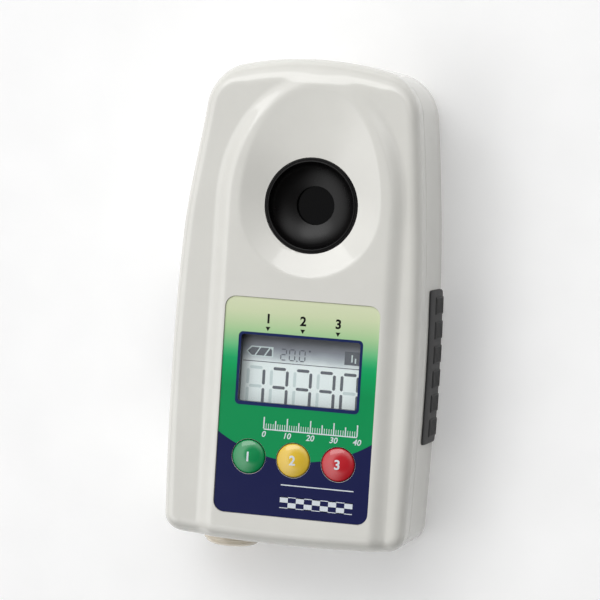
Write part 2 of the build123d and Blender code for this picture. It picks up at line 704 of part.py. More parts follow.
def cap_carriage():
    """Contact disc on a swivel stem, and the spring on it: they move in and out with the cap, but don't turn."""
    disc = along_y(tube_x, tube_z, disc_y, disc_y + disc_thickness, disc_radius)
    disc += along_y(tube_x, tube_z, disc_y - stem_length, disc_y, stem_radius)
    path = Helix(pitch=(spring_length - spring_wire * 2 - 0.05) / spring_turns,
                 height=spring_length - spring_wire * 2 - 0.05, radius=spring_radius)
    coil = sweep(Plane(origin=path @ 0, z_dir=path % 0) * Circle(spring_wire), path=path, is_frenet=True)
    spring = Pos(tube_x, disc_y + disc_thickness + spring_wire + 0.02, tube_z) * Rot(-90, 0, 0) * coil
    return disc, spring


def battery_cap():
    """Screw cap: domed head with a coin slot, and a spigot with its seal."""
    spigot = bore_radius - screw_gap
    head_y = -half_length - cap_gap
    foot_y = disc_y - 0.05
    with BuildLine() as edge:
        Polyline((0, foot_y), (spigot, foot_y), (spigot, head_y), (cap_radius, head_y), (cap_radius, head_y - cap_skirt))
        top = head_y - cap_height
        ThreePointArc((cap_radius, head_y - cap_skirt), (cap_radius * 0.80, top + (cap_height - cap_skirt) * 0.27),
                      (cap_radius * 0.45, top))
        Line((cap_radius * 0.45, top), (0, top))
        Line((0, top), (0, foot_y))
    cap = Pos(tube_x, 0, tube_z) * revolve(make_face(edge.line), Axis.Y)
    cap -= block((tube_x - cap_slot_length / 2, top - 1, tube_z - cap_slot_width / 2),
                 (tube_x + cap_slot_length / 2, top + cap_slot_depth, tube_z + cap_slot_width / 2))
    cap -= along_y(tube_x, tube_z, foot_y - stem_length - 0.2, foot_y + 1, stem_radius + stem_gap)
    groove_y = head_y + 2.2
    groove_radius = bore_radius - cap_seal_cord
    groove = along_y(tube_x, tube_z, groove_y - cap_seal_cord * 0.6, groove_y + cap_seal_cord * 0.6, cap_radius)
    cap -= groove - along_y(tube_x, tube_z, groove_y - 2, groove_y + 2, groove_radius)
    middle = groove_radius + cap_seal_cord / 2
    seal = Pos(tube_x, groove_y, tube_z) * Rot(90, 0, 0) * Torus(middle - 0.02, cap_seal_cord / 2 - 0.05)
    return cap, seal


def build():
    """Every piece of the instrument, by name."""
    body = outer_body()
    parts = {"front_housing": front_housing(body), "rear_housing": rear_housing(body)}
    parts["case_seal"] = seam_ring(0.02)
    parts["case_screws"] = Compound(children=[screw(x, y, case_head_recess, case_screw_length, case_screw_radius,
                                                    case_head_radius, case_head_height) for x, y in case_screw_spots])
    parts["right_grip"] = grip(1)
    parts["left_grip"] = grip(-1)
    parts["display_label"] = display_label()
    window, glass, holder, strips = display_stack()
    parts.update({"display_window": window, "display_glass": glass, "display_holder": holder, "contact_strips": strips})
    bodies, plungers = switches()
    parts["switch_bodies"] = bodies
    for name, x, plunger in zip(("read", "scale", "calibrate"), button_xs, plungers):
        parts[name + "_button"] = button(x)
        parts[name + "_plunger"] = plunger
    parts["main_board"] = main_board()
    parts["board_screws"] = Compound(children=[screw(x, y, board_under_z, board_screw_length, board_screw_radius,
                                                     small_head_radius, small_head_height) for x, y in board_posts])
    parts["processor"], parts["ribbon_socket"] = board_parts()
    parts["sample_well"], parts["well_seal"] = sample_well()
    parts["prism"], parts["prism_seal"] = prism_and_seal()
    parts["optics_block"] = optics_block(parts["prism"])
    parts["optics_screws"] = Compound(children=[screw(x, y, optics_z - optics_flange, optics_flange + optics_screw_bite,
                                                      board_screw_radius, small_head_radius, small_head_height) for x, y in optics_screw_spots])
    names = ("lens", "lamp_board", "lamp", "sensor_board", "light_sensor", "temperature_probe")
    parts.update(zip(names, optics_parts()))
    parts["sensor_ribbon"] = sensor_ribbon()
    parts["battery_tube"] = battery_tube()
    parts["outer_cell"] = cell(cell_y)
    parts["inner_cell"] = cell(cell_y + cell_length + cell_nub)
    parts["positive_contact"], parts["negative_contact"] = battery_contacts()
    parts["positive_lead"], parts["negative_lead"] = battery_leads()
    parts["cap_contact"], parts["battery_spring"] = cap_carriage()
    parts["battery_cap"], parts["cap_seal"] = battery_cap()
    return parts


os.makedirs("parts", exist_ok=True)
for node, shape in build().items():
    export_step(shape, f"parts/{node}.step")
    print(node, "written")
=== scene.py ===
import bpy, bmesh, json, math
from mathutils import Matrix, Vector

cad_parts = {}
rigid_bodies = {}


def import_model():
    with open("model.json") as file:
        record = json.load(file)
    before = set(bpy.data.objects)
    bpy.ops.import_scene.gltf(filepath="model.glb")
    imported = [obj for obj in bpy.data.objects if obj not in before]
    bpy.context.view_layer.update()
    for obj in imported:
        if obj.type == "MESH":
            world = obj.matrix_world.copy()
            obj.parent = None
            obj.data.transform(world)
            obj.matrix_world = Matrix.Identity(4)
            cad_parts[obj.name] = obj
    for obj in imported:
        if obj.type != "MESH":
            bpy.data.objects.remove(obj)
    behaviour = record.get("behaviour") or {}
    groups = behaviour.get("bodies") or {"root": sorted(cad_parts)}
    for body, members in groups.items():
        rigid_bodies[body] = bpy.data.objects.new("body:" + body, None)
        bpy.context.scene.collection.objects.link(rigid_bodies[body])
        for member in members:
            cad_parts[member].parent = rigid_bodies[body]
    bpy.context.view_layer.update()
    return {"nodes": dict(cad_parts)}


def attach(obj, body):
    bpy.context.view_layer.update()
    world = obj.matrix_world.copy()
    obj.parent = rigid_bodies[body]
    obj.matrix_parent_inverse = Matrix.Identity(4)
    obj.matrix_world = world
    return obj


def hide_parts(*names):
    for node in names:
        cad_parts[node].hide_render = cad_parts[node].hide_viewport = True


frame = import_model()
nodes = frame["nodes"]
mm = 0.001


def deselectAll():
    for ob in bpy.context.view_layer.objects:
        ob.select_set(False)


def pick(ob):  # only this object selected and active
    deselectAll()
    ob.select_set(True)
    bpy.context.view_layer.objects.active = ob


def named(name):  # the active object gets its name
    ob = bpy.context.active_object
    ob.name = name
    ob.data.name = name
    return ob


def placeInMesh(ob):  # location, turn and scale go into the mesh
    pick(ob)
    bpy.ops.object.transform_apply(location=True, rotation=True, scale=True)


def layDown(ob, x, y, z):  # an upright piece points along -Y, its foot at this place in mm
    ob.rotation_euler = (math.radians(90), 0, 0)
    ob.location = (x * mm, y * mm, z * mm)
    placeInMesh(ob)
    return ob


def tidyMesh(ob, merge=0.002):  # joins doubled points, in mm, and turns the faces outward
    pick(ob)
    bpy.ops.object.mode_set(mode="EDIT")
    bpy.ops.mesh.select_all(action="SELECT")
    bpy.ops.mesh.remove_doubles(threshold=merge * mm)
    bpy.ops.mesh.normals_make_consistent(inside=False)
    bpy.ops.object.mode_set(mode="OBJECT")


def smooth(ob, angle=32):
    pick(ob)
    bpy.ops.object.shade_smooth_by_angle(angle=math.radians(angle))


def cut(ob, cutter, kind="DIFFERENCE"):  # cutter is used up
    mod = ob.modifiers.new("cut", "BOOLEAN")
    mod.operation = kind
    mod.solver = "EXACT"
    mod.object = cutter
    mod.material_mode = "TRANSFER"
    pick(ob)
    bpy.ops.object.modifier_apply(modifier=mod.name)
    bpy.data.objects.remove(cutter)


def joinInto(ob, others):
    deselectAll()
    for other in others:
        other.select_set(True)
    ob.select_set(True)
    bpy.context.view_layer.objects.active = ob
    bpy.ops.object.join()


def dress(ob, material):
    ob.data.materials.clear()
    ob.data.materials.append(material)
    return ob


def place(ob, body, hides=()):
    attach(ob, body)
    if hides:
        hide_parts(*hides)


def fromFaces(name, points, faces):  # points in mm
    mesh = bpy.data.meshes.new(name)
    mesh.from_pydata([(x * mm, y * mm, z * mm) for x, y, z in points], [], faces)
    mesh.validate()
    ob = bpy.data.objects.new(name, mesh)
    bpy.context.scene.collection.objects.link(ob)
    return ob


def turned(name, profile, x=0, y=0, steps=96):  # profile of radius and height, in mm
    deselectAll()
    bpy.ops.mesh.primitive_plane_add(size=mm)
    ob = named(name)
    bpy.ops.object.mode_set(mode="EDIT")
    bpy.ops.mesh.select_all(action="SELECT")
    bpy.ops.mesh.delete(type="VERT")
    bm = bmesh.from_edit_mesh(ob.data)
    verts = [bm.verts.new((r * mm, 0, h * mm)) for r, h in profile]
    for a, b in zip(verts, verts[1:]):
        bm.edges.new((a, b))
    bmesh.update_edit_mesh(ob.data)
    bpy.ops.mesh.select_all(action="SELECT")
    bpy.ops.mesh.spin(steps=steps, angle=2 * math.pi, center=(0, 0, 0), axis=(0, 0, 1))
    bpy.ops.mesh.select_all(action="SELECT")
    bpy.ops.mesh.remove_doubles(threshold=0.001 * mm)
    bpy.ops.mesh.normals_make_consistent(inside=False)
    bpy.ops.object.mode_set(mode="OBJECT")
    ob.location = (x * mm, y * mm, 0)
    placeInMesh(ob)
    return ob


def linear(code):  # sRGB hex to linear colour
    out = []
    for i in (0, 2, 4):
        c = int(code[i:i + 2], 16) / 255
        out.append(c / 12.92 if c < 0.04045 else ((c + 0.055) / 1.055) ** 2.4)
    return (*out, 1.0)


def add(tree, kind, values=None, links=None):  # a node with its settings and its links
    made = tree.nodes.new(kind)
    for key, value in (values or {}).items():
        if key == "stops":
            band = made.color_ramp
            band.elements.remove(band.elements[1])
            band.elements[0].position, band.elements[0].color = value[0][0], linear(value[0][1])
            for at, code in value[1:]:
                band.elements.new(at).color = linear(code)
        elif isinstance(key, str) and key in made.bl_rna.properties:
            setattr(made, key, value)
        else:
            made.inputs[key].default_value = value
    for key, socket in (links or {}).items():
        tree.links.new(socket, made.inputs[key])
    return made


def newMaterial(name, **sockets):  # Principled surface with its plain socket values
    mat = bpy.data.materials.new(name)
    mat.use_nodes = True
    tree = mat.node_tree
    shader = tree.nodes["Principled BSDF"]
    for key, value in sockets.items():
        shader.inputs[key.replace("_", " ")].default_value = value
    coord = tree.nodes.new("ShaderNodeTexCoord").outputs["Object"]
    return mat, tree, shader, coord


def grain(tree, shader, coord, size, depth, rough, smudge=0.03, tint=None):
    # surface grain: size and depth in mm; rough is the middle roughness; tint is a pair of hex colours
    fine = add(tree, "ShaderNodeTexNoise", {"Scale": 1000 / size, "Detail": 3.0}, {"Vector": coord})
    bump = add(tree, "ShaderNodeBump", {"Strength": 1.0, "Distance": depth * mm}, {"Height": fine.outputs["Fac"]})
    tree.links.new(bump.outputs["Normal"], shader.inputs["Normal"])
    wide = add(tree, "ShaderNodeTexNoise", {"Scale": 55.0, "Detail": 4.0, "Roughness": 0.6}, {"Vector": coord})
    even = add(tree, "ShaderNodeMapRange", {"From Min": 0.3, "From Max": 0.7, "To Min": rough - smudge,
                                            "To Max": rough + smudge}, {"Value": wide.outputs["Fac"]})
    tree.links.new(even.outputs["Result"], shader.inputs["Roughness"])
    if tint:
        colour = add(tree, "ShaderNodeValToRGB", {"stops": [(0.35, tint[0]), (0.65, tint[1])]},
                     {"Fac": wide.outputs["Fac"]})
        tree.links.new(colour.outputs["Color"], shader.inputs["Base Color"])


def glossyAbs(name, tint):  # injection-moulded ABS from a polished tool: soft gloss, the faintest orange peel
    mat, tree, shader, coord = newMaterial(name, IOR=1.54)
    grain(tree, shader, coord, 0.9, 0.0008, 0.07, 0.015, tint)
    return mat


def mouldedPlastic(name, tint, rough, size=0.12, depth=0.006, shine=0.5):  # from a spark-eroded tool: fine matt tooth
    mat, tree, shader, coord = newMaterial(name, IOR=1.52, Specular_IOR_Level=shine)
    grain(tree, shader, coord, size, depth, rough, 0.05, tint)
    return mat


def softRubber(name, tint, rough):  # moulded thermoplastic rubber: broad dull shine, fine tooth
    mat, tree, shader, coord = newMaterial(name, IOR=1.5, Sheen_Weight=0.06, Sheen_Roughness=0.5)
    grain(tree, shader, coord, 0.22, 0.02, rough, 0.06, tint)
    return mat


def keyPlastic(name, tint):  # tinted polycarbonate with a polished dome
    mat, tree, shader, coord = newMaterial(name, IOR=1.58, Coat_Weight=0.35, Coat_Roughness=0.03)
    grain(tree, shader, coord, 0.5, 0.0006, 0.09, 0.02, tint)
    return mat


def printInk(name, code, rough=0.38):  # screen ink: flat film with the mesh's faint tooth
    mat, tree, shader, coord = newMaterial(name, IOR=1.5)
    shader.inputs["Base Color"].default_value = linear(code)
    grain(tree, shader, coord, 0.12, 0.0015, rough, 0.04)
    return mat


def metal(name, tint, rough, stretch=(1, 1, 1)):  # plated metal: rolling or turning lines along one way
    mat, tree, shader, coord = newMaterial(name, Metallic=1.0)
    drawn = add(tree, "ShaderNodeMapping", {"Scale": stretch}, {"Vector": coord})
    grain(tree, shader, drawn.outputs["Vector"], 0.25, 0.004, rough, 0.08, tint)
    return mat


def labelFilm():  # reverse-printed polyester film: pale green running to full green, navy foot, navy display border
    look = {"centreX": 2.55, "displayY": -18.75, "halfW": 17.75, "halfH": 10.15, "corner": 1.3,
            "arcY": -3.95, "arcR": 39.5, "greenY": -24.0, "paleY": 1.0, "navy": "10174C", "border": "14265C"}
    fade = [(0.0, "009655"), (0.16, "02A25C"), (0.24, "03A860"), (0.32, "1CAE6A"), (0.40, "4ABC7A"), (0.48, "78C98C"),
            (0.56, "99CF97"), (0.64, "B2D8A2"), (0.72, "C4DDAD"), (0.84, "D8E4BB"), (1.0, "E2E9C5")]
    mat, tree, shader, coord = newMaterial("polyesterFilm", IOR=1.57)
    inMm = add(tree, "ShaderNodeVectorMath", {"operation": "SCALE", "Scale": 1000.0}, {0: coord}).outputs["Vector"]
    split = add(tree, "ShaderNodeSeparateXYZ", links={0: inMm})
    height = add(tree, "ShaderNodeMapRange", {"From Min": look["greenY"], "From Max": look["paleY"]},
                 {"Value": split.outputs["Y"]})
    green = add(tree, "ShaderNodeValToRGB", {"stops": fade}, {"Fac": height.outputs["Result"]})
    fromArc = add(tree, "ShaderNodeVectorMath", {"operation": "SUBTRACT", 1: (look["centreX"], look["arcY"], 0)},
                  {0: inMm})
    flat = add(tree, "ShaderNodeVectorMath", {"operation": "MULTIPLY", 1: (1, 1, 0)}, {0: fromArc.outputs["Vector"]})
    reach = add(tree, "ShaderNodeVectorMath", {"operation": "LENGTH"}, {0: flat.outputs["Vector"]})
    below = add(tree, "ShaderNodeMath", {"operation": "GREATER_THAN", 1: look["arcR"]}, {0: reach.outputs["Value"]})
    foot = add(tree, "ShaderNodeMix", {"data_type": "RGBA", 7: linear(look["navy"])},
               {0: below.outputs[0], 6: green.outputs["Color"]})
    off = add(tree, "ShaderNodeVectorMath", {"operation": "SUBTRACT", 1: (look["centreX"], look["displayY"], 0)},
              {0: inMm})
    size = add(tree, "ShaderNodeVectorMath", {"operation": "ABSOLUTE"}, {0: off.outputs["Vector"]})
    straight = (look["halfW"] - look["corner"], look["halfH"] - look["corner"], 99)
    past = add(tree, "ShaderNodeVectorMath", {"operation": "SUBTRACT", 1: straight}, {0: size.outputs["Vector"]})
    outside = add(tree, "ShaderNodeVectorMath", {"operation": "MAXIMUM", 1: (0, 0, 0)}, {0: past.outputs["Vector"]})
    gap = add(tree, "ShaderNodeVectorMath", {"operation": "LENGTH"}, {0: outside.outputs["Vector"]})
    inBorder = add(tree, "ShaderNodeMath", {"operation": "LESS_THAN", 1: look["corner"]}, {0: gap.outputs["Value"]})
    border = add(tree, "ShaderNodeMix", {"data_type": "RGBA", 7: linear(look["border"])},
                 {0: inBorder.outputs[0], 6: foot.outputs[2]})
    tree.links.new(border.outputs[2], shader.inputs["Base Color"])
    grain(tree, shader, coord, 0.16, 0.0008, 0.16, 0.02)
    return mat


def liquidCrystal():  # reflective liquid-crystal glass: silver-grey polariser, darker towards the top as painted shadow of the window's top wall
    look = {"low": -0.029, "high": -0.0085, "waver": 0.0016}
    # the dark end of this ramp, at the top of the glass, is painted shadow cast by the window's top wall
    fade = [(0.0, "F2FEFD"), (0.58, "F4FFFE"), (0.68, "B4BFC5"), (0.78, "7F8590"), (0.9, "555963"), (1.0, "2E313A")]
    mat, tree, shader, coord = newMaterial("liquidCrystalGlass", IOR=1.5)
    split = add(tree, "ShaderNodeSeparateXYZ", links={0: coord})
    wide = add(tree, "ShaderNodeTexNoise", {"Scale": 160.0, "Detail": 2.0}, {"Vector": coord})
    lift = add(tree, "ShaderNodeMath", {"operation": "MULTIPLY_ADD", 1: look["waver"], 2: -look["waver"] / 2},
               {0: wide.outputs["Fac"]})
    y = add(tree, "ShaderNodeMath", {"operation": "ADD"}, {0: split.outputs["Y"], 1: lift.outputs[0]})
    height = add(tree, "ShaderNodeMapRange", {"From Min": look["low"], "From Max": look["high"]},
                 {"Value": y.outputs[0]})
    colour = add(tree, "ShaderNodeValToRGB", {"stops": fade}, {"Fac": height.outputs["Result"]})
    tree.links.new(colour.outputs["Color"], shader.inputs["Base Color"])
    grain(tree, shader, coord, 0.1, 0.001, 0.24, 0.02)
    return mat


def circuitBoard():  # green solder mask over etched copper: tracks on a 2.54 mm grid show as paler lines
    look = {"track": 2.54, "holes": 3.8, "hole": 0.12}
    mat, tree, shader, coord = newMaterial("solderMask", IOR=1.55, Coat_Weight=0.3, Coat_Roughness=0.1)
    tracks = add(tree, "ShaderNodeTexBrick", {"Scale": 1000 / look["track"], "Mortar Size": 0.06, "Bias": 0.0,
                                              "Color1": linear("0B4A2A"), "Color2": linear("0E5631"),
                                              "Mortar": linear("2C8A55"), "Row Height": 0.5, "Brick Width": 1.6},
                 {"Vector": coord})
    holes = add(tree, "ShaderNodeTexVoronoi", {"Scale": 1000 / look["holes"]}, {"Vector": coord})
    spot = add(tree, "ShaderNodeMath", {"operation": "LESS_THAN", 1: look["hole"]}, {0: holes.outputs["Distance"]})
    plated = add(tree, "ShaderNodeMix", {"data_type": "RGBA", 7: linear("C9B27A")},
                 {0: spot.outputs[0], 6: tracks.outputs["Color"]})
    tree.links.new(plated.outputs[2], shader.inputs["Base Color"])
    grain(tree, shader, coord, 0.2, 0.004, 0.30, 0.05)
    return mat


def cellSleeve():  # shrunk printed sleeve on a dry cell: dark blue with a silver band at one end
    cellLength = 0.0445
    bands = [(0.0, "16305E"), (0.68, "1B3A70"), (0.70, "C8CBD0"), (1.0, "D8DADD")]
    mat, tree, shader, coord = newMaterial("cellSleeve", IOR=1.5, Coat_Weight=0.4, Coat_Roughness=0.1)
    split = add(tree, "ShaderNodeSeparateXYZ", links={0: coord})
    wave = add(tree, "ShaderNodeMath", {"operation": "PINGPONG", 1: cellLength}, {0: split.outputs["Y"]})
    part = add(tree, "ShaderNodeMapRange", {"From Min": 0.0, "From Max": cellLength}, {"Value": wave.outputs[0]})
    colour = add(tree, "ShaderNodeValToRGB", {"stops": bands}, {"Fac": part.outputs["Result"]})
    tree.links.new(colour.outputs["Color"], shader.inputs["Base Color"])
    grain(tree, shader, coord, 0.3, 0.002, 0.25, 0.04)
    return mat


def clearPart(name, code, alpha, rough=0.03):  # clear acrylic or glass, thin enough to see straight through
    mat, tree, shader, coord = newMaterial(name, IOR=1.49, Alpha=alpha)
    shader.inputs["Base Color"].default_value = linear(code)
    grain(tree, shader, coord, 1.5, 0.0004, rough, 0.01)
    mat.surface_render_method = "BLENDED"
    return mat


housingAbs = glossyAbs("glossyAbs", ("E2E1DB", "E6E5DF"))
# the cap is the housing's off-white plastic made lighter and warmer: painted light against the shade below the case
# foot and a painted warm reflection of the ground
capPaintedLightAbs = glossyAbs("capAbsPaintedLight", ("F6EAD6", "FAF0DE"))
gripRubber = softRubber("gripRubber", ("222223", "282728"), 0.60)
sealRubber = softRubber("siliconeSeal", ("26282A", "2E3033"), 0.5)
wellNylon = mouldedPlastic("blackNylon", ("080708", "0C0B0B"), 0.27, shine=0.26)
blackAbs = mouldedPlastic("blackAbs", ("18191B", "202124"), 0.45)
nylonWhite = mouldedPlastic("naturalNylon", ("DAD8CF", "E2E0D8"), 0.42)
ribbonFilm = mouldedPlastic("polyimideFilm", ("9C5A14", "AC661C"), 0.3)
redWire = mouldedPlastic("redInsulation", ("A81418", "B61C20"), 0.4)
blackWire = mouldedPlastic("blackInsulation", ("101113", "17181A"), 0.4)
chipEpoxy = mouldedPlastic("mouldingCompound", ("141414", "1C1C1C"), 0.55, 0.08, 0.004)
greenKey = keyPlastic("greenKey", ("0A8C4E", "10985A"))
yellowKey = keyPlastic("yellowKey", ("E2B92E", "EBC640"))
redKey = keyPlastic("redKey", ("BC1824", "C6222D"))
# painted shade: dark paint that the window and key-hole cutters leave on the cut walls, where shade falls in the gaps
holeWallShade = printInk("paintedHoleShade", "3A3F49", 0.5)
blackInk = printInk("blackInk", "060606", 0.18)
whiteInk = printInk("whiteInk", "DCE4EA")
segmentInk = printInk("segmentGrey", "454C57", 0.25)
faintInk = printInk("segmentFaint", "CFE0E0", 0.25)
zincSteel = metal("zincPlate", ("A9ABAC", "B9BABB"), 0.32)
nickel = metal("nickelPlate", ("C2BDB2", "CEC9BF"), 0.24, (1, 6, 1))
prismGlass = clearPart("prismGlass", "050506", 0.92, 0.06)
acrylic = clearPart("clearAcrylic", "F2F6F8", 0.06)
lampResin = clearPart("amberResin", "E09A1C", 0.8, 0.08)
boardMaterial = circuitBoard()
sleeveMaterial = cellSleeve()
print("materials made")

carried = (  # pieces that keep the frame's own shape
    (sealRubber, ("case_seal", "well_seal", "prism_seal", "cap_seal", "contact_strips")),
    (zincSteel, ("case_screws", "board_screws", "optics_screws")),
    (labelFilm(), ("display_label",)),
    (liquidCrystal(), ("display_glass",)),
    (acrylic, ("display_window", "lens")),
    (blackAbs, ("display_holder", "switch_bodies", "optics_block", "battery_tube")),
    (nylonWhite, ("ribbon_socket", "read_plunger", "scale_plunger", "calibrate_plunger")),
    (boardMaterial, ("main_board", "lamp_board", "sensor_board")),
    (chipEpoxy, ("processor", "light_sensor")),
    (prismGlass, ("prism",)),
    (lampResin, ("lamp",)),
    (ribbonFilm, ("sensor_ribbon",)),
    (sleeveMaterial, ("outer_cell", "inner_cell")),
    (nickel, ("temperature_probe", "positive_contact", "negative_contact", "cap_contact", "battery_spring")),
    (redWire, ("positive_lead",)),
    (blackWire, ("negative_lead",)))
for finish, nodeNames in carried:
    for nodeName in nodeNames:
        dress(nodes[nodeName], finish)


case = {"halfWidth": 35.3, "halfLength": 67.5, "bowY": -20.0, "bow": 620.0, "lowBow": 1300.0, "topArc": 92.0,
        "footArc": 480.0, "topCorner": 13.5, "footCorner": 5.6, "shoulder": 29.7, "seam": 22.0, "seamLip": 0.16,
        "wall": 2.2, "skin": 2.0, "patchIn": (4.9, 7.6), "sideRound": (3.2, 3.2), "topRound": (6.6, 6.0),
        "footRound": (4.5, 5.0), "backRound": 2.5, "floorRound": 1.5, "taper": 1.45, "taperRise": 5.4,
        "backRows": (14.0, 8.0), "cornerSteps": 10, "endSteps": 46, "sideSteps": (74, 130)}
spine = {"x": 2.55, "y": 27.2, "half": 24.9, "rise": 34.5, "height": 1.8, "run": 5.0, "fade": 0.66}
dish = {"x": spine["x"], "y": spine["y"], "well": 13.2, "low": 20.0, "rise": 33.4, "depth": 2.35,
        "soft": 0.045, "end": 1.06}
screws = ((-29.85, -50), (29.85, -50), (-23.05, 56), (23.05, 56))


def meet(first, firstReach, second, secondReach, side):  # where two circles cross
    span = math.dist(first, second)
    ux, uy = (second[0] - first[0]) / span, (second[1] - first[1]) / span
    along = (firstReach ** 2 - secondReach ** 2 + span ** 2) / (2 * span)
    across = side * math.sqrt(firstReach ** 2 - along ** 2)
    return first[0] + along * ux - across * uy, first[1] + along * uy + across * ux


def arcRun(centre, radius, start, end, steps):  # points with their outward normals
    return [(centre[0] + radius * math.cos(a), centre[1] + radius * math.sin(a), math.cos(a), math.sin(a))
            for a in (start + (end - start) * i / steps for i in range(steps + 1))]


def ease(t):
    t = min(max(t, 0.0), 1.0)
    return t * t * (3 - 2 * t)


def caseRim():  # bottom, right, top and left runs of the outline, each from its low or left end
    c = case
    sides = []
    for bow, arc, corner, way, steps in ((c["lowBow"], c["footArc"], c["footCorner"], -1, c["sideSteps"][0]),
                                         (c["bow"], c["topArc"], c["topCorner"], 1, c["sideSteps"][1])):
        sideC, endC = (c["halfWidth"] - bow, c["bowY"]), (0, way * (c["halfLength"] - arc))
        k = meet(sideC, bow - corner, endC, arc - corner, way)
        sideA = math.atan2(k[1] - sideC[1], k[0] - sideC[0])
        endA = math.atan2(k[1] - endC[1], k[0] - endC[0])
        mid = (sideA + endA) / 2
        flank = arcRun(sideC, bow, 0, sideA, steps) + arcRun(k, corner, sideA, mid, c["cornerSteps"])[1:]
        end = arcRun(k, corner, mid, endA, c["cornerSteps"])
        end += arcRun(endC, arc, endA, way * math.pi / 2, c["endSteps"])[1:]
        sides.append((flank, end))
    (lowFlank, foot), (highFlank, head) = sides
    flip = lambda run: [(-x, y, -nx, ny) for x, y, nx, ny in run]
    right = lowFlank[::-1] + highFlank[1:]
    return flip(foot) + foot[::-1][1:], right, flip(head) + head[::-1][1:], flip(right)


def spineLift(x, y):  # height of the raised spine over the shoulder
    dx, dy = x - spine["x"], max(y - spine["y"], 0.0)
    if dy == 0.0:
        away = abs(dx) - spine["half"]
    else:
        q = math.hypot(dx / spine["half"], dy / spine["rise"])
        away = q * (q - 1) / max(math.hypot(dx / spine["half"] ** 2, dy / spine["rise"] ** 2), 1e-9)
    fade = 1 - spine["fade"] * ease((dy / spine["rise"] - 0.35) / 0.6)
    return spine["height"] * fade * ease(0.5 - away / spine["run"])


def dishDrop(x, y):  # spoon-shaped hollow: steep near its rim, shallower by the well
    dx, dy = x - dish["x"], y - dish["y"]
    far = math.hypot(dx, dy)
    if far < 1e-6:
        return dish["depth"]
    if dy <= 0:
        rim = dish["low"]
    else:
        rim = 1 / math.hypot(dx / far / dish["low"], dy / far / dish["rise"])
    t = max((far - dish["well"]) / (rim - dish["well"]), 0.0)
    soft = dish["soft"]  # the rim is softly broken
    if t >= dish["end"]:
        return 0.0
    return dish["depth"] * ((1 + soft - t) ** 2 / (4 * soft) if t > 1 - soft else 1 - t)


def faceHeight(x, y):
    return case["shoulder"] + spineLift(x, y) - dishDrop(x, y)


def bridge(faces, last, start, count):  # a band of faces from one closed ring of points to the next
    fresh = list(range(start, start + count))
    for k in range(count):
        m = (k + 1) % count
        faces.append((last[k], fresh[k], fresh[m], last[m]))
    return fresh


def evenCorners(grid, reach=17, passes=160):  # relaxes a grid of places near its four corners
    nv, nu = len(grid) - 1, len(grid[0]) - 1
    for turn in range(passes):
        for rows in (range(1, reach + 1), range(nv - reach, nv)):
            for columns in (range(1, reach + 1), range(nu - reach, nu)):
                for j in rows:
                    for i in columns:
                        around = grid[j - 1][i], grid[j + 1][i], grid[j][i - 1], grid[j][i + 1]
                        grid[j][i] = [sum(p[n] for p in around) / 4 for n in (0, 1)]


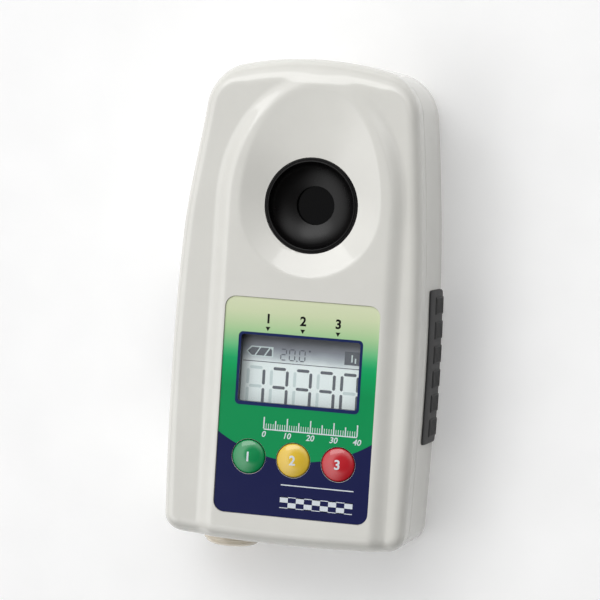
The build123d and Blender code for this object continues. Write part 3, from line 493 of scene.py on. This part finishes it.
def frontShell():
    c = case
    bottom, right, top, left = caseRim()
    nu, nv = len(bottom) - 1, len(right) - 1
    low = c["seam"] + c["seamLip"]

    def inset(p, e, z=c["shoulder"]):  # above the seam the left side draws in towards the well end
        drawn = c["taper"] * ease((p[1] - 18) / 36) * ease((-p[0] - 6) / 22)
        return p[0] - p[2] * e + drawn * ease((z - low) / c["taperRise"]), p[1] - p[3] * e

    def margin(p):  # from the outline to the face's grid, wider at the well end
        return c["patchIn"][0] + (c["patchIn"][1] - c["patchIn"][0]) * ease(p[3] * 1.3)

    def radius(p, n=0):  # of the rolled edge, inward or downward
        up, down = max(p[3], 0) ** 4, max(-p[3], 0) ** 4
        return c["sideRound"][n] * (1 - up - down) + c["topRound"][n] * up + c["footRound"][n] * down

    b, r, t, l = [[inset(p, margin(p)) for p in run] for run in (bottom, right, top, left)]
    us = [(p[0] - b[0][0]) / (b[-1][0] - b[0][0]) for p in b]
    vs = [(p[1] - r[0][1]) / (r[-1][1] - r[0][1]) for p in r]
    grid = [[[(1 - v) * b[i][n] + v * t[i][n] + (1 - u) * l[j][n] + u * r[j][n]
              - ((1 - u) * (1 - v) * b[0][n] + u * (1 - v) * b[-1][n] + (1 - u) * v * t[0][n] + u * v * t[-1][n])
              for n in (0, 1)] for i, u in enumerate(us)] for j, v in enumerate(vs)]
    evenCorners(grid)
    outer = [(x, y, faceHeight(x, y)) for row in grid for x, y in row]
    inner = [(x, y, z - c["skin"]) for x, y, z in outer]
    at = lambda i, j: j * (nu + 1) + i
    faces = [(at(i, j), at(i + 1, j), at(i + 1, j + 1), at(i, j + 1)) for j in range(nv) for i in range(nu)]
    loop = [(at(i, 0), bottom[i]) for i in range(nu)] + [(at(nu, j), right[j]) for j in range(nv)]
    loop += [(at(i, nv), top[i]) for i in range(nu, 0, -1)] + [(at(0, j), left[j]) for j in range(nv, 0, -1)]
    last = [k for k, _ in loop]
    rims = [p for _, p in loop]

    rings = []
    for step in (0.35, 0.7, 1.0):  # flat margin
        rings.append([(margin(p) + (radius(p) - margin(p)) * step, 0.0, 0.0) for p in rims])
    for n in range(1, 13):  # rolled edge
        a = math.pi / 2 * n / 12
        rings.append([(radius(p) * (1 - math.sin(a)), radius(p, 1) * (1 - math.cos(a)), a) for p in rims])
    for ring in rings:
        start = len(outer)
        for p, (e, drop, a) in zip(rims, ring):
            x, y = inset(p, e, c["shoulder"] - drop)
            z = c["shoulder"] + spineLift(x, y) - drop
            outer.append((x, y, z))
            wall = c["skin"] + (c["wall"] - c["skin"]) * math.sin(a)
            inner.append((x - p[2] * wall * math.sin(a), y - p[3] * wall * math.sin(a), z - wall * math.cos(a)))
        last = bridge(faces, last, start, len(rims))
    edge = outer[-len(rims):]
    for share, lip in ((0.25, 0.0), (0.5, 0.0), (0.75, 0.0), (1.0, 0.0), (1.0, c["seamLip"])):  # down to the seam
        start = len(outer)
        for p, e in zip(rims, edge):
            z = c["seam"] if lip else e[2] + (low - e[2]) * share
            outer.append((*inset(p, lip, z), z))
            inner.append((*inset(p, c["wall"], z), z))
        last = bridge(faces, last, start, len(rims))
    total, n = len(outer), len(rims)
    faces += [tuple(total + k for k in reversed(f)) for f in faces]
    faces += [(last[k], last[(k + 1) % n], total + last[(k + 1) % n], total + last[k])[::-1] for k in range(n)]
    return fromFaces("frontCase", outer + inner, faces)


def rearShell():
    c = case
    bottom, right, top, left = caseRim()
    rims = bottom[:-1] + right[:-1] + top[:0:-1] + left[:0:-1]
    outside = [(c["wall"], c["seam"]), (c["seamLip"], c["seam"]), (0.0, c["seam"] - c["seamLip"])]
    outside += [(0.0, z) for z in c["backRows"]]
    for a in (math.pi / 2 * n / 7 for n in range(8)):
        outside.append((c["backRound"] * (1 - math.cos(a)), c["backRound"] * (1 - math.sin(a))))
    inside = [(c["wall"], c["backRows"][0])]
    for a in (math.pi / 2 * n / 5 for n in range(6)):
        e, z = c["floorRound"] * (1 - math.cos(a)), c["floorRound"] * (1 - math.sin(a))
        inside.append((c["wall"] + e, c["wall"] + z))
    ring = lambda e, z: [(p[0] - p[2] * e, p[1] - p[3] * e, z) for p in rims]
    points, faces, inner = ring(*outside[0]), [], []
    first = last = list(range(len(rims)))
    for e, z in outside[1:]:
        start = len(points)
        points += ring(e, z)
        last = bridge(faces, last, start, len(rims))
    faces.append(tuple(reversed(last)))
    last = first
    for e, z in inside:
        start = len(points)
        points += ring(e, z)
        last = bridge(inner, last, start, len(rims))
    faces += [tuple(reversed(f)) for f in inner]
    faces.append(tuple(last))
    return fromFaces("rearCase", points, faces)


def block(name, low, high):  # box between two corners, in mm
    deselectAll()
    bpy.ops.mesh.primitive_cube_add(size=1)
    ob = named(name)
    ob.scale = [(b - a) * mm for a, b in zip(low, high)]
    ob.location = [(a + b) / 2 * mm for a, b in zip(low, high)]
    placeInMesh(ob)
    return ob


def bevelEdges(ob, size, segments, chosen=lambda a, b: True):  # chosen looks at the two ends of an edge, in mm
    pick(ob)
    bpy.ops.object.mode_set(mode="EDIT")
    bpy.ops.mesh.select_mode(type="EDGE")
    bpy.ops.mesh.select_all(action="DESELECT")
    bm = bmesh.from_edit_mesh(ob.data)
    for e in bm.edges:
        e.select = chosen(e.verts[0].co / mm, e.verts[1].co / mm)
    bmesh.update_edit_mesh(ob.data)
    bpy.ops.mesh.bevel(offset=size * mm, segments=segments, profile=0.5)
    bpy.ops.object.mode_set(mode="OBJECT")
    return ob


def window(name, y, size, corner, low, high, material):  # upright block with rounded corners, on the spine's line
    w, h = size[0] / 2, size[1] / 2
    ob = block(name, (spine["x"] - w, y - h, low), (spine["x"] + w, y + h, high))
    return dress(bevelEdges(ob, corner, 8, lambda a, b: abs(a.z - b.z) > 0.001), material)


def rod(name, x, y, radius, low, high, material, steps=72):
    deselectAll()
    bpy.ops.mesh.primitive_cylinder_add(vertices=steps, radius=radius * mm, depth=(high - low) * mm,
                                        location=(x * mm, y * mm, (low + high) / 2 * mm))
    ob = named(name)
    placeInMesh(ob)
    return dress(ob, material)


def post(x, y, hole, outside, low, high):  # moulded post with its screw hole
    return turned("post", [(hole, low), (outside, low), (outside, high), (hole, high), (hole, low)], x, y, steps=32)


label = {"y": -29.05, "size": (44.2, 60.3), "corner": 3.1, "floor": 30.9}
screen = {"y": -18.6, "size": (34.0, 18.6), "corner": 0.8}
keyRow = {"y": -43.15, "pitch": 12.8, "hole": 4.85}
wellSeat = {"bore": 12.3, "flange": 13.3, "ledge": 27.7, "collar": (12.3, 23.9, 14.5, 27.5)}
boardPosts = {"x": 20.5, "ys": (-61.5, 5.0), "shape": (1.02, 2.2, 23.8, 29.0)}
opticsPosts = {"x": 11.0, "y": 14.4, "shape": (1.02, 2.2, 23.2, 27.8)}
casePosts = {"shape": (1.27, 3.2, 22.0, 27.6)}
over, under = 34, 26  # cutters reach from inside the case to above the face
front = dress(frontShell(), housingAbs)
tidyMesh(front)
cut(front, window("cutLabel", label["y"], label["size"], label["corner"], label["floor"], over, housingAbs))
# the window and key-hole walls take the painted shade
cut(front, window("cutWindow", screen["y"], screen["size"], screen["corner"], under, over, holeWallShade))
for n in (-1, 0, 1):
    cut(front, rod("cutKey", spine["x"] + n * keyRow["pitch"], keyRow["y"], keyRow["hole"], under, over, holeWallShade))
cut(front, rod("cutWell", dish["x"], dish["y"], wellSeat["bore"], 20, over, housingAbs, 128))
cut(front, rod("cutFlange", dish["x"], dish["y"], wellSeat["flange"], wellSeat["ledge"], over, housingAbs, 128))
posts = [post(spine["x"] + a * boardPosts["x"], y, *boardPosts["shape"]) for a in (-1, 1) for y in boardPosts["ys"]]
posts += [post(dish["x"] + a * opticsPosts["x"], dish["y"] + d * opticsPosts["y"], *opticsPosts["shape"])
          for a in (-1, 1) for d in (-1, 1)]
posts += [post(x, y, *casePosts["shape"]) for x, y in screws]
corners = ((0, 1), (2, 1), (2, 3), (0, 3), (0, 1))
posts.append(turned("collar", [(wellSeat["collar"][a], wellSeat["collar"][b]) for a, b in corners],
                    dish["x"], dish["y"]))
for ob in posts:
    dress(ob, housingAbs)
joinInto(front, posts)
smooth(front)
place(front, "instrument", ["front_housing"])
print("front case made")

boss = {"head": 2.3, "outside": 3.2, "hole": 1.35, "low": 2.0, "high": 21.9, "seat": 8.0}
mouth = {"x": -18.5, "y": -66, "z": 13, "radius": 7.15, "reach": 6}
rear = dress(rearShell(), housingAbs)
tidyMesh(rear)
for x, y in screws:
    cut(rear, rod("cutScrew", x, y, boss["head"], -1, 2.4, housingAbs, 48))
hole = rod("cutMouth", 0, 0, mouth["radius"], -mouth["reach"], mouth["reach"], housingAbs, 96)
cut(rear, layDown(hole, mouth["x"], mouth["y"], mouth["z"]))
profile = [(boss["head"], boss["low"]), (boss["outside"], boss["low"]), (boss["outside"], boss["high"]),
           (boss["hole"], boss["high"]), (boss["hole"], boss["seat"]), (boss["head"], boss["seat"]),
           (boss["head"], boss["low"])]
bosses = [dress(turned("boss", profile, x, y, steps=40), housingAbs) for x, y in screws]
joinInto(rear, bosses)
smooth(rear)
place(rear, "instrument", ["rear_housing"])
print("rear case made")


def flatText(name, words, x, y, z, size, thick, material, bold=0.0, lean=0.0):  # mm
    deselectAll()
    bpy.ops.object.text_add()
    ob = named(name)
    ob.data.body, ob.data.size, ob.data.offset = words, size * mm, bold * mm
    ob.data.align_x, ob.data.align_y, ob.data.shear = "CENTER", "CENTER", lean
    ob.data.extrude = thick / 2 * mm
    ob.data.resolution_u = 4
    pick(ob)
    bpy.ops.object.convert(target="MESH")
    ob = bpy.context.active_object
    ob.location = (x * mm, y * mm, z * mm)
    placeInMesh(ob)
    tidyMesh(ob, 0.0005)
    return dress(ob, material)


def inkShape(name, loops, low, high, material):  # closed outlines in mm raised into thin ink
    points, faces = [], []
    for loop in loops:
        start, n = len(points), len(loop)
        points += [(x, y, low) for x, y in loop] + [(x, y, high) for x, y in loop]
        faces.append(tuple(range(start + n - 1, start - 1, -1)))
        faces.append(tuple(range(start + n, start + 2 * n)))
        faces += [(start + k, start + (k + 1) % n, start + n + (k + 1) % n, start + n + k) for k in range(n)]
    ob = fromFaces(name, points, faces)
    tidyMesh(ob, 0.0005)
    return dress(ob, material)


def bar(x0, y0, x1, y1):
    return [(x0, y0), (x1, y0), (x1, y1), (x0, y1)]


def pill(xa, ya, xb, yb, width, tips=6):  # rounded stroke between two points
    along = math.atan2(yb - ya, xb - xa)
    loop = []
    for (x, y), turn in (((xb, yb), -math.pi / 2), ((xa, ya), math.pi / 2)):
        loop += [(x + width / 2 * math.cos(along + turn + math.pi * n / tips),
                  y + width / 2 * math.sin(along + turn + math.pi * n / tips)) for n in range(tips + 1)]
    return loop


well = {"hole": 5.4, "foot": 23.62, "body": 12.18, "groove": (11.35, 25.1, 26.2), "flange": (13.2, 27.72, 28.85),
        "edgeRound": 0.2, "flatTo": 12.52, "beadAt": (12.26, 29.02), "bead": (0.26, 0.27), "beadEnd": 150,
        "bowl": ((12.03, 29.1), (11.7, 26.9), (9.3, 25.45), (5.42, 24.36)), "bowlSteps": 26, "lip": 24.33}
w = well
ring = [(w["hole"], w["foot"]), (w["body"], w["foot"]), (w["body"], w["groove"][1]), w["groove"][:2],
        (w["groove"][0], w["groove"][2]), (w["body"], w["groove"][2]), (w["body"], w["flange"][1]),
        w["flange"][:2], (w["flange"][0], w["flange"][2])]
for a in (math.pi / 2 * n / 4 for n in range(1, 5)):
    ring.append((w["flange"][0] - w["edgeRound"] * (1 - math.cos(a)), w["flange"][2] + w["edgeRound"] * math.sin(a)))
ring.append((w["flatTo"], w["beadAt"][1]))
for a in (math.radians(w["beadEnd"] * n / 10) for n in range(11)):
    ring.append((w["beadAt"][0] + w["bead"][0] * math.cos(a), w["beadAt"][1] + w["bead"][1] * math.sin(a)))
for t in (n / w["bowlSteps"] for n in range(w["bowlSteps"] + 1)):
    weights = ((1 - t) ** 3, 3 * t * (1 - t) ** 2, 3 * t ** 2 * (1 - t), t ** 3)
    ring.append(tuple(sum(k * p[n] for k, p in zip(weights, w["bowl"])) for n in (0, 1)))
ring += [(w["hole"], w["lip"]), (w["hole"], w["foot"])]
cup = dress(turned("sampleCup", ring, dish["x"], dish["y"], steps=144), wellNylon)
smooth(cup, 40)
place(cup, "instrument", ["sample_well"])
print("sample well made")

key = {"radius": 4.7, "dome": 1.1, "top": 31.15, "flange": 5.5, "foot": 28.35, "ledge": 29.3, "rimRound": 0.45,
       "edge": 0.12, "clear": 0.02, "figure": 3.7, "figureReach": 3.2, "figureUp": 0.014}


def domeHeight(r):  # pillowed crown: nearly spherical
    bulge = (key["radius"] ** 2 + key["dome"] ** 2) / (2 * key["dome"])
    return key["top"] + key["dome"] - bulge + math.sqrt(bulge ** 2 - r ** 2)


def keyCap(name, x, body, slotName, finish, hides, figure):
    k = key
    flank = k["radius"] - k["clear"]
    skirt = [(0.0, k["foot"]), (2.6, k["foot"]), (k["flange"] - k["edge"], k["foot"]),
             (k["flange"], k["foot"] + k["edge"]), (k["flange"], k["ledge"] - k["edge"]),
             (k["flange"] - k["edge"], k["ledge"]), (flank, k["ledge"]), (flank, k["top"] - 0.1)]
    crown = []
    for r in (flank * (1 - (n / 24) ** 1.35) for n in range(25)):
        near = max(0.0, (r - (flank - k["rimRound"])) / k["rimRound"])  # the rim rolls over
        crown.append((r - 0.06 * near ** 4, domeHeight(r) - 0.16 * (1 - math.sqrt(max(0.0, 1 - near ** 2)))))
    ob = turned(name, skirt + [(flank, crown[0][1] - 0.08)] + crown, x, keyRow["y"])
    smooth(ob, 40)
    dress(ob, finish)
    place(ob, body, [hides])
    number = flatText(name + "Number", figure, x, keyRow["y"] - 0.1, k["top"] + 0.8, k["figure"], 3.0, whiteInk,
                      bold=0.09)
    reach = k["figureReach"]
    skin = turned(name + "Skin", [(0.0, k["top"] - 0.3), (reach, k["top"] - 0.3)] +
                  [(r, domeHeight(r) + k["figureUp"]) for r in (reach * (1 - n / 16) for n in range(17))],
                  x, keyRow["y"], steps=64)
    cut(number, skin, "INTERSECT")
    dress(number, whiteInk)
    place(number, body)


for step, row in enumerate((("readKey", "read_key", "green_key", greenKey, "read_button", "1"),
                            ("scaleKey", "scale_key", "yellow_key", yellowKey, "scale_button", "2"),
                            ("calibrateKey", "calibrate_key", "red_key", redKey, "calibrate_button", "3"))):
    keyCap(row[0], spine["x"] + (step - 1) * keyRow["pitch"], *row[1:])
print("keys made")

film = {"top": 31.15, "ink": 0.016, "columns": (-6.98, 2.95, 12.97), "markTop": -6.88, "markTip": -8.06,
        "markHalf": 0.68, "numberY": -4.75, "number": 3.5, "bold": 0.12}
onFilm = (film["top"], film["top"] + film["ink"])
middleOfInk = film["top"] + film["ink"] / 2
marks = [[(x - film["markHalf"], film["markTop"]), (x, film["markTip"]), (x + film["markHalf"], film["markTop"])]
         for x in film["columns"]]
signs = inkShape("modeMarks", marks, *onFilm, blackInk)
joinInto(signs, [flatText("modeNumber", str(n + 1), x, film["numberY"], middleOfInk, film["number"], film["ink"],
                          blackInk, bold=film["bold"]) for n, x in enumerate(film["columns"])])
place(signs, "instrument")

ruler = {"left": -6.4, "right": 20.2, "base": -35.2, "line": 0.16, "steps": 40, "tall": 3.4, "middle": 2.5,
         "short": 1.6, "bold": 0.17, "thin": 0.09, "numbers": 5, "numberDrop": 1.45, "number": 2.3}
span = ruler["right"] - ruler["left"]
strokes = [bar(ruler["left"], ruler["base"] - ruler["line"], ruler["right"], ruler["base"] + ruler["line"])]
for n in range(ruler["steps"] + 1):
    x = ruler["left"] + span * n / ruler["steps"]
    tall = ruler["tall"] if n % 10 == 0 else ruler["middle"] if n % 5 == 0 else ruler["short"]
    half = ruler["bold"] if n % 5 == 0 else ruler["thin"]
    strokes.append(bar(x - half, ruler["base"] + ruler["line"], x + half, ruler["base"] + tall))
scale = inkShape("printedScale", strokes, *onFilm, whiteInk)
numberY = ruler["base"] - ruler["numberDrop"]
joinInto(scale, [flatText("scaleNumber", str(n * 10), ruler["left"] + span * n / 4, numberY, middleOfInk,
                          ruler["number"], film["ink"], whiteInk, bold=0.04, lean=0.2)
                 for n in range(ruler["numbers"])])
place(scale, "instrument")

blocks = {"x": (-0.5, 20.2), "y": (-56.6, -53.4), "count": 9, "line": 0.22, "rule": (-50.3, -50.0)}
(left, right), (low, high) = blocks["x"], blocks["y"]
wide, middle = (right - left) / blocks["count"], (low + high) / 2
tiles = [bar(left, high - blocks["line"], right, high), bar(left, low, right, low + blocks["line"]),
         bar(left, blocks["rule"][0], right, blocks["rule"][1])]
for n in range(blocks["count"]):
    x = left + wide * n
    tiles.append(bar(x, low, x + wide, middle) if n % 2 else bar(x, middle, x + wide, high))
place(inkShape("printedBars", tiles, *onFilm, whiteInk), "instrument")
print("label print made")

glass = {"top": 27.8, "ink": 0.02, "thinInk": 0.012, "lefts": (-12.8, -6.07, 0.66, 7.39, 14.12), "wide": 4.55,
         "rows": (-18.55, -23.72, -28.9), "stroke": 0.84, "reading": "13330", "warmLefts": (-3.7, -1.25, 1.65),
         "warmWide": 1.55, "warmRows": (-12.95, -14.45, -15.95), "warmStroke": 0.30, "warmReading": "200",
         "point": (0.95, -16.0, 0.96, -16.0, 0.42), "degree": (4.5, -13.0, 4.55, -13.0, 0.55),
         "rule": (-14.4, -16.98, 19.5, -16.76), "box": (14.5, -15.85, 19.3, -12.15),
         "boxBars": ((16.4, -15.0, 16.8, -13.0), (17.4, -15.3, 17.8, -13.9)),
         "charge": ([(-13.3, -14.2), (-12.1, -15.2), (-11.3, -15.2), (-9.9, -13.0), (-12.1, -13.0)],
                    [(-10.9, -15.2), (-8.6, -15.2), (-7.2, -13.0), (-9.5, -13.0)],
                    [(-8.2, -15.2), (-6.3, -15.2), (-6.3, -13.6), (-6.7, -13.0)]),
         "battery": [(-13.75, -14.2), (-12.3, -12.65), (-5.95, -12.65), (-5.95, -15.55), (-12.3, -15.55)]}
segments = {"0": "abcdef", "1": "bc", "2": "abged", "3": "abgcd"}


def segmentBars(x, wide, rows, stroke, shown):  # the strokes of one figure, lettered clockwise from its top
    high, mid, low = rows
    gap, trim = stroke * 0.72, stroke * 0.35
    run = {"a": (x + gap, high, x + wide - gap, high), "g": (x + gap, mid, x + wide - gap, mid),
           "d": (x + gap, low, x + wide - gap, low), "f": (x, high - gap, x, mid + gap),
           "e": (x, mid - gap, x, low + gap), "b": (x + wide, high - gap, x + wide, mid + gap),
           "c": (x + wide, mid - gap, x + wide, low + gap)}
    out = []
    for x0, y0, x1, y1 in (run[s] for s in shown):
        if y0 == y1:
            out.append(pill(x0 + trim, y0, x1 - trim, y1, stroke))
        else:
            out.append(pill(x0, y0 - trim, x1, y1 + trim, stroke))
    return out


g = glass
lit, dim = [], []
for x, figure in zip(g["lefts"], g["reading"]):
    on = segments[figure]
    lit += segmentBars(x, g["wide"], g["rows"], g["stroke"], on)
    dim += segmentBars(x, g["wide"], g["rows"], g["stroke"], [s for s in "abcdefg" if s not in on])
for x, figure in zip(g["warmLefts"], g["warmReading"]):
    lit += segmentBars(x, g["warmWide"], g["warmRows"], g["warmStroke"], segments[figure])
lit += [pill(*g["point"]), bar(*g["rule"]), pill(*g["degree"]), *g["charge"]]
inked = g["top"] + g["ink"]
for name, loops, low, high, material in (
        ("litSegments", lit, g["top"], inked, segmentInk),
        ("unlitSegments", dim + [g["battery"]], g["top"], g["top"] + g["thinInk"], faintInk),
        ("modeBox", [bar(*g["box"])], g["top"], inked, segmentInk),
        ("modeBoxMark", [bar(*b) for b in g["boxBars"]], inked, inked + g["thinInk"], faintInk)):
    place(inkShape(name, loops, low, high, material), "instrument")
print("display print made")

grip = {"low": -37.35, "high": 5.75, "back": 3.15, "front": 17.35, "sunk": -0.75, "proud": 0.9, "corner": 1.3,
        "edge": 0.45, "shoulder": 13.6, "slope": 0.55, "slopeRow": 1.3, "rows": 28, "block": 1.27, "count": 6,
        "share": 0.73, "blockBack": 3.3, "blockFront": 12.6, "ribs": 5, "ribShare": 0.31, "ribInset": 0.35}


def sideReach(y):  # half width of the case at this place along it
    bow = case["bow"] if y > case["bowY"] else case["lowBow"]
    return case["halfWidth"] - bow + math.sqrt(bow ** 2 - (y - case["bowY"]) ** 2)


def gripPad(name, side, hides):
    g = grip
    pad = block(name, (g["sunk"], g["low"], g["back"]), (g["proud"], g["high"], g["front"]))
    bevelEdges(pad, g["corner"], 5, lambda a, b: abs(a.x - b.x) > 0.5)
    bevelEdges(pad, g["edge"], 4, lambda a, b: min(a.x, b.x) > g["proud"] - 1e-4)
    bpy.ops.object.mode_set(mode="EDIT")
    long = g["high"] - g["low"]
    cuts = [((0, 0, (g["shoulder"] + g["slopeRow"] * n) * mm), (0, 0, 1)) for n in range(3)]
    cuts += [((0, (g["low"] + long * n / g["rows"]) * mm, 0), (0, 1, 0)) for n in range(1, g["rows"])]
    for at, across in cuts:
        bpy.ops.mesh.select_all(action="SELECT")
        bpy.ops.mesh.bisect(plane_co=at, plane_no=across)
    bpy.ops.object.mode_set(mode="OBJECT")
    for v in pad.data.vertices:  # the front edge slopes down to the case
        z = v.co.z / mm
        if z > g["shoulder"] and v.co.x > 0:
            v.co.x -= g["slope"] * ((z - g["shoulder"]) / (g["front"] - g["shoulder"])) ** 1.7 * mm
    pitch = (long - 2) / g["count"]
    step = (g["blockFront"] - g["blockBack"] - 0.9) / g["ribs"]
    facing = lambda a, b: max(a.x, b.x) > 1.0
    raised = []
    for n in range(g["count"]):
        low = g["low"] + 1 + pitch * (n + (1 - g["share"]) / 2)
        high = low + pitch * g["share"]
        brick = block("block", (g["proud"] - 0.4, low, g["blockBack"]), (g["block"] - 0.12, high, g["blockFront"]))
        raised.append(bevelEdges(brick, 0.3, 3, facing))
        for k in range(g["ribs"]):
            z = g["blockBack"] + 0.45 + step * (k + 0.5)
            rib = block("rib", (g["block"] - 0.4, low + g["ribInset"], z - step * g["ribShare"]),
                        (g["block"], high - g["ribInset"], z + step * g["ribShare"]))
            raised.append(bevelEdges(rib, 0.18, 2, facing))
    joinInto(pad, raised)
    for v in pad.data.vertices:  # follows the bowed side wall
        v.co.x = side * (v.co.x + sideReach(v.co.y / mm) * mm)
    dress(pad, gripRubber)
    if side < 0:
        bpy.ops.object.mode_set(mode="EDIT")
        bpy.ops.mesh.select_all(action="SELECT")
        bpy.ops.mesh.flip_normals()
        bpy.ops.object.mode_set(mode="OBJECT")
    smooth(pad, 38)
    place(pad, "instrument", [hides])


gripPad("rightGrip", 1, "right_grip")
gripPad("leftGrip", -1, "left_grip")
print("grips made")

cap = {"x": -18.5, "z": 13.0, "head": -67.74, "radius": 8.1, "height": 3.25, "skirt": 1.3, "edge": 0.25,
       "spigot": 6.3, "foot": 9.7, "lead": 0.3, "groove": (5.25, -2.75, -1.75), "under": 0.05, "crown": 1.32,
       "crownSteps": 14, "slot": (12.5, 1.8, 1.5), "stem": (2.05, -1.2, 1.4)}
c = cap
inner, grooveLow, grooveHigh = c["groove"]
profile = [(0.0, -c["foot"]), (c["spigot"] - c["lead"], -c["foot"]), (c["spigot"], -c["foot"] + c["lead"]),
           (c["spigot"], grooveLow), (inner, grooveLow), (inner, grooveHigh), (c["spigot"], grooveHigh),
           (c["spigot"], c["under"]), (c["radius"] - c["edge"], c["under"]), (c["radius"], c["under"] + c["edge"]),
           (c["radius"], c["skirt"] - c["edge"]), (c["radius"] - 0.22, c["skirt"]), (c["radius"] - 0.5, c["crown"])]
for n in range(1, c["crownSteps"] + 1):
    a = math.pi / 2 * n / c["crownSteps"]
    reach = (c["radius"] - 0.55) * math.cos(a) ** 0.62 if n < c["crownSteps"] else 0.0
    profile.append((reach, c["crown"] + (c["height"] - c["crown"]) * math.sin(a) ** 0.9))
screwCap = dress(layDown(turned("screwCap", profile, steps=112), c["x"], c["head"], c["z"]), capPaintedLightAbs)
w, h = c["slot"][0] / 2, c["slot"][1] / 2
slot = block("cutSlot", (c["x"] - w, c["head"] - 4.5, c["z"] - h),
             (c["x"] + w, c["head"] - c["height"] + c["slot"][2], c["z"] + h))
cut(screwCap, dress(bevelEdges(slot, 0.25, 3), capPaintedLightAbs))
stem = rod("cutStem", 0, 0, *c["stem"], capPaintedLightAbs, 40)
cut(screwCap, layDown(stem, c["x"], c["head"] + c["foot"], c["z"]))
smooth(screwCap, 35)
place(screwCap, "screw_cap", ["battery_cap"])
print("battery cap made")

paper = {"size": 8.0, "below": 0.0002, "glow": 0.19}  # metres
deselectAll()
bpy.ops.mesh.primitive_plane_add(size=paper["size"], location=(0, 0, -paper["below"]))
floor = named("studioFloor")
placeInMesh(floor)
paperMat, paperTree, paperShader, paperCoord = newMaterial(
    "whitePaper", IOR=1.4, Emission_Color=(1, 1, 1, 1), Emission_Strength=paper["glow"])
grain(paperTree, paperShader, paperCoord, 2.0, 0.02, 0.85, 0.05, ("EEEEEE", "F2F2F2"))
dress(floor, paperMat)

# white tent: dim to the lower right and near the table, a dark gap overhead
tent = {"level": 1.86, "bright": (-0.81, 0.59, 0.0), "turn": (-0.60, 0.15), "shadeSide": 0.03, "top": (0.84, 0.955),
        "topLevel": 0.10, "duskTop": 0.85}
world = bpy.data.worlds.new("lightTent")
world.use_nodes = True
sky = world.node_tree
sky.nodes["Background"].inputs["Color"].default_value = (1, 1, 1, 1)
ray = sky.nodes.new("ShaderNodeTexCoord").outputs["Generated"]
side = add(sky, "ShaderNodeVectorMath", {"operation": "DOT_PRODUCT", 1: tent["bright"]}, {0: ray})
level = add(sky, "ShaderNodeMapRange", {"interpolation_type": "SMOOTHSTEP", "From Min": tent["turn"][0],
                                        "From Max": tent["turn"][1], "To Min": tent["shadeSide"] * tent["level"],
                                        "To Max": tent["level"]}, {"Value": side.outputs["Value"]})
split = add(sky, "ShaderNodeSeparateXYZ", links={0: ray})
gap = add(sky, "ShaderNodeMapRange", {"interpolation_type": "SMOOTHSTEP", "From Min": tent["top"][0],
                                      "From Max": tent["top"][1], "To Min": 1.0, "To Max": tent["topLevel"]},
          {"Value": split.outputs["Z"]})
dusk = add(sky, "ShaderNodeMapRange", {"interpolation_type": "SMOOTHSTEP", "From Min": 0.0,
                                       "From Max": tent["duskTop"], "To Min": 0.0, "To Max": 1.0},
           {"Value": split.outputs["Z"]})
shade = add(sky, "ShaderNodeMath", {"operation": "MULTIPLY"}, {0: gap.outputs["Result"], 1: dusk.outputs["Result"]})
glow = add(sky, "ShaderNodeMath", {"operation": "MULTIPLY"}, {0: level.outputs["Result"], 1: shade.outputs[0]})
sky.links.new(glow.outputs[0], sky.nodes["Background"].inputs["Strength"])
bpy.context.scene.world = world

box = {"left": (-0.80, 0.38, 1.00), "right": (0.10, 0.58, 1.00), "height": 0.48, "radiance": 2.1, "aim": (0, 0, 0.02)}
left, right = Vector(box["left"]), Vector(box["right"])  # its lower corners, in metres
across = (right - left).normalized()
out = ((left + right) / 2 - Vector(box["aim"])).normalized()
out = (out - across * out.dot(across)).normalized()
upward = out.cross(across)
lamp = bpy.data.lights.new("mainBox", "AREA")
lamp.shape = "RECTANGLE"
lamp.size, lamp.size_y = (right - left).length, box["height"]
lamp.energy = box["radiance"] * math.pi * lamp.size * lamp.size_y
softBox = bpy.data.objects.new("mainBox", lamp)
softBox.matrix_world = (Matrix.Translation((left + right) / 2 + upward * box["height"] / 2)
                        @ Matrix([across, upward, out]).transposed().to_4x4())
bpy.context.scene.collection.objects.link(softBox)
bpy.context.scene.view_settings.view_transform = "Standard"

view = {"at": (195.38, 47.13, 760.83), "right": (0.96358524, 0.06319633, -0.25982631),
        "up": (-0.07673878, 0.99615346, -0.04230178), "back": (0.25615356, 0.06070012, 0.96472838), "lens": 165.12}
camData = bpy.data.cameras.new("viewCamera")
camData.lens, camData.sensor_width, camData.clip_start = view["lens"], 36, 0.01
camera = bpy.data.objects.new("viewCamera", camData)
turn = Matrix([view["right"], view["up"], view["back"]]).transposed().to_4x4()
camera.matrix_world = Matrix.Translation([v * mm for v in view["at"]]) @ turn
bpy.context.scene.collection.objects.link(camera)
bpy.context.scene.camera = camera

print("scene finished")
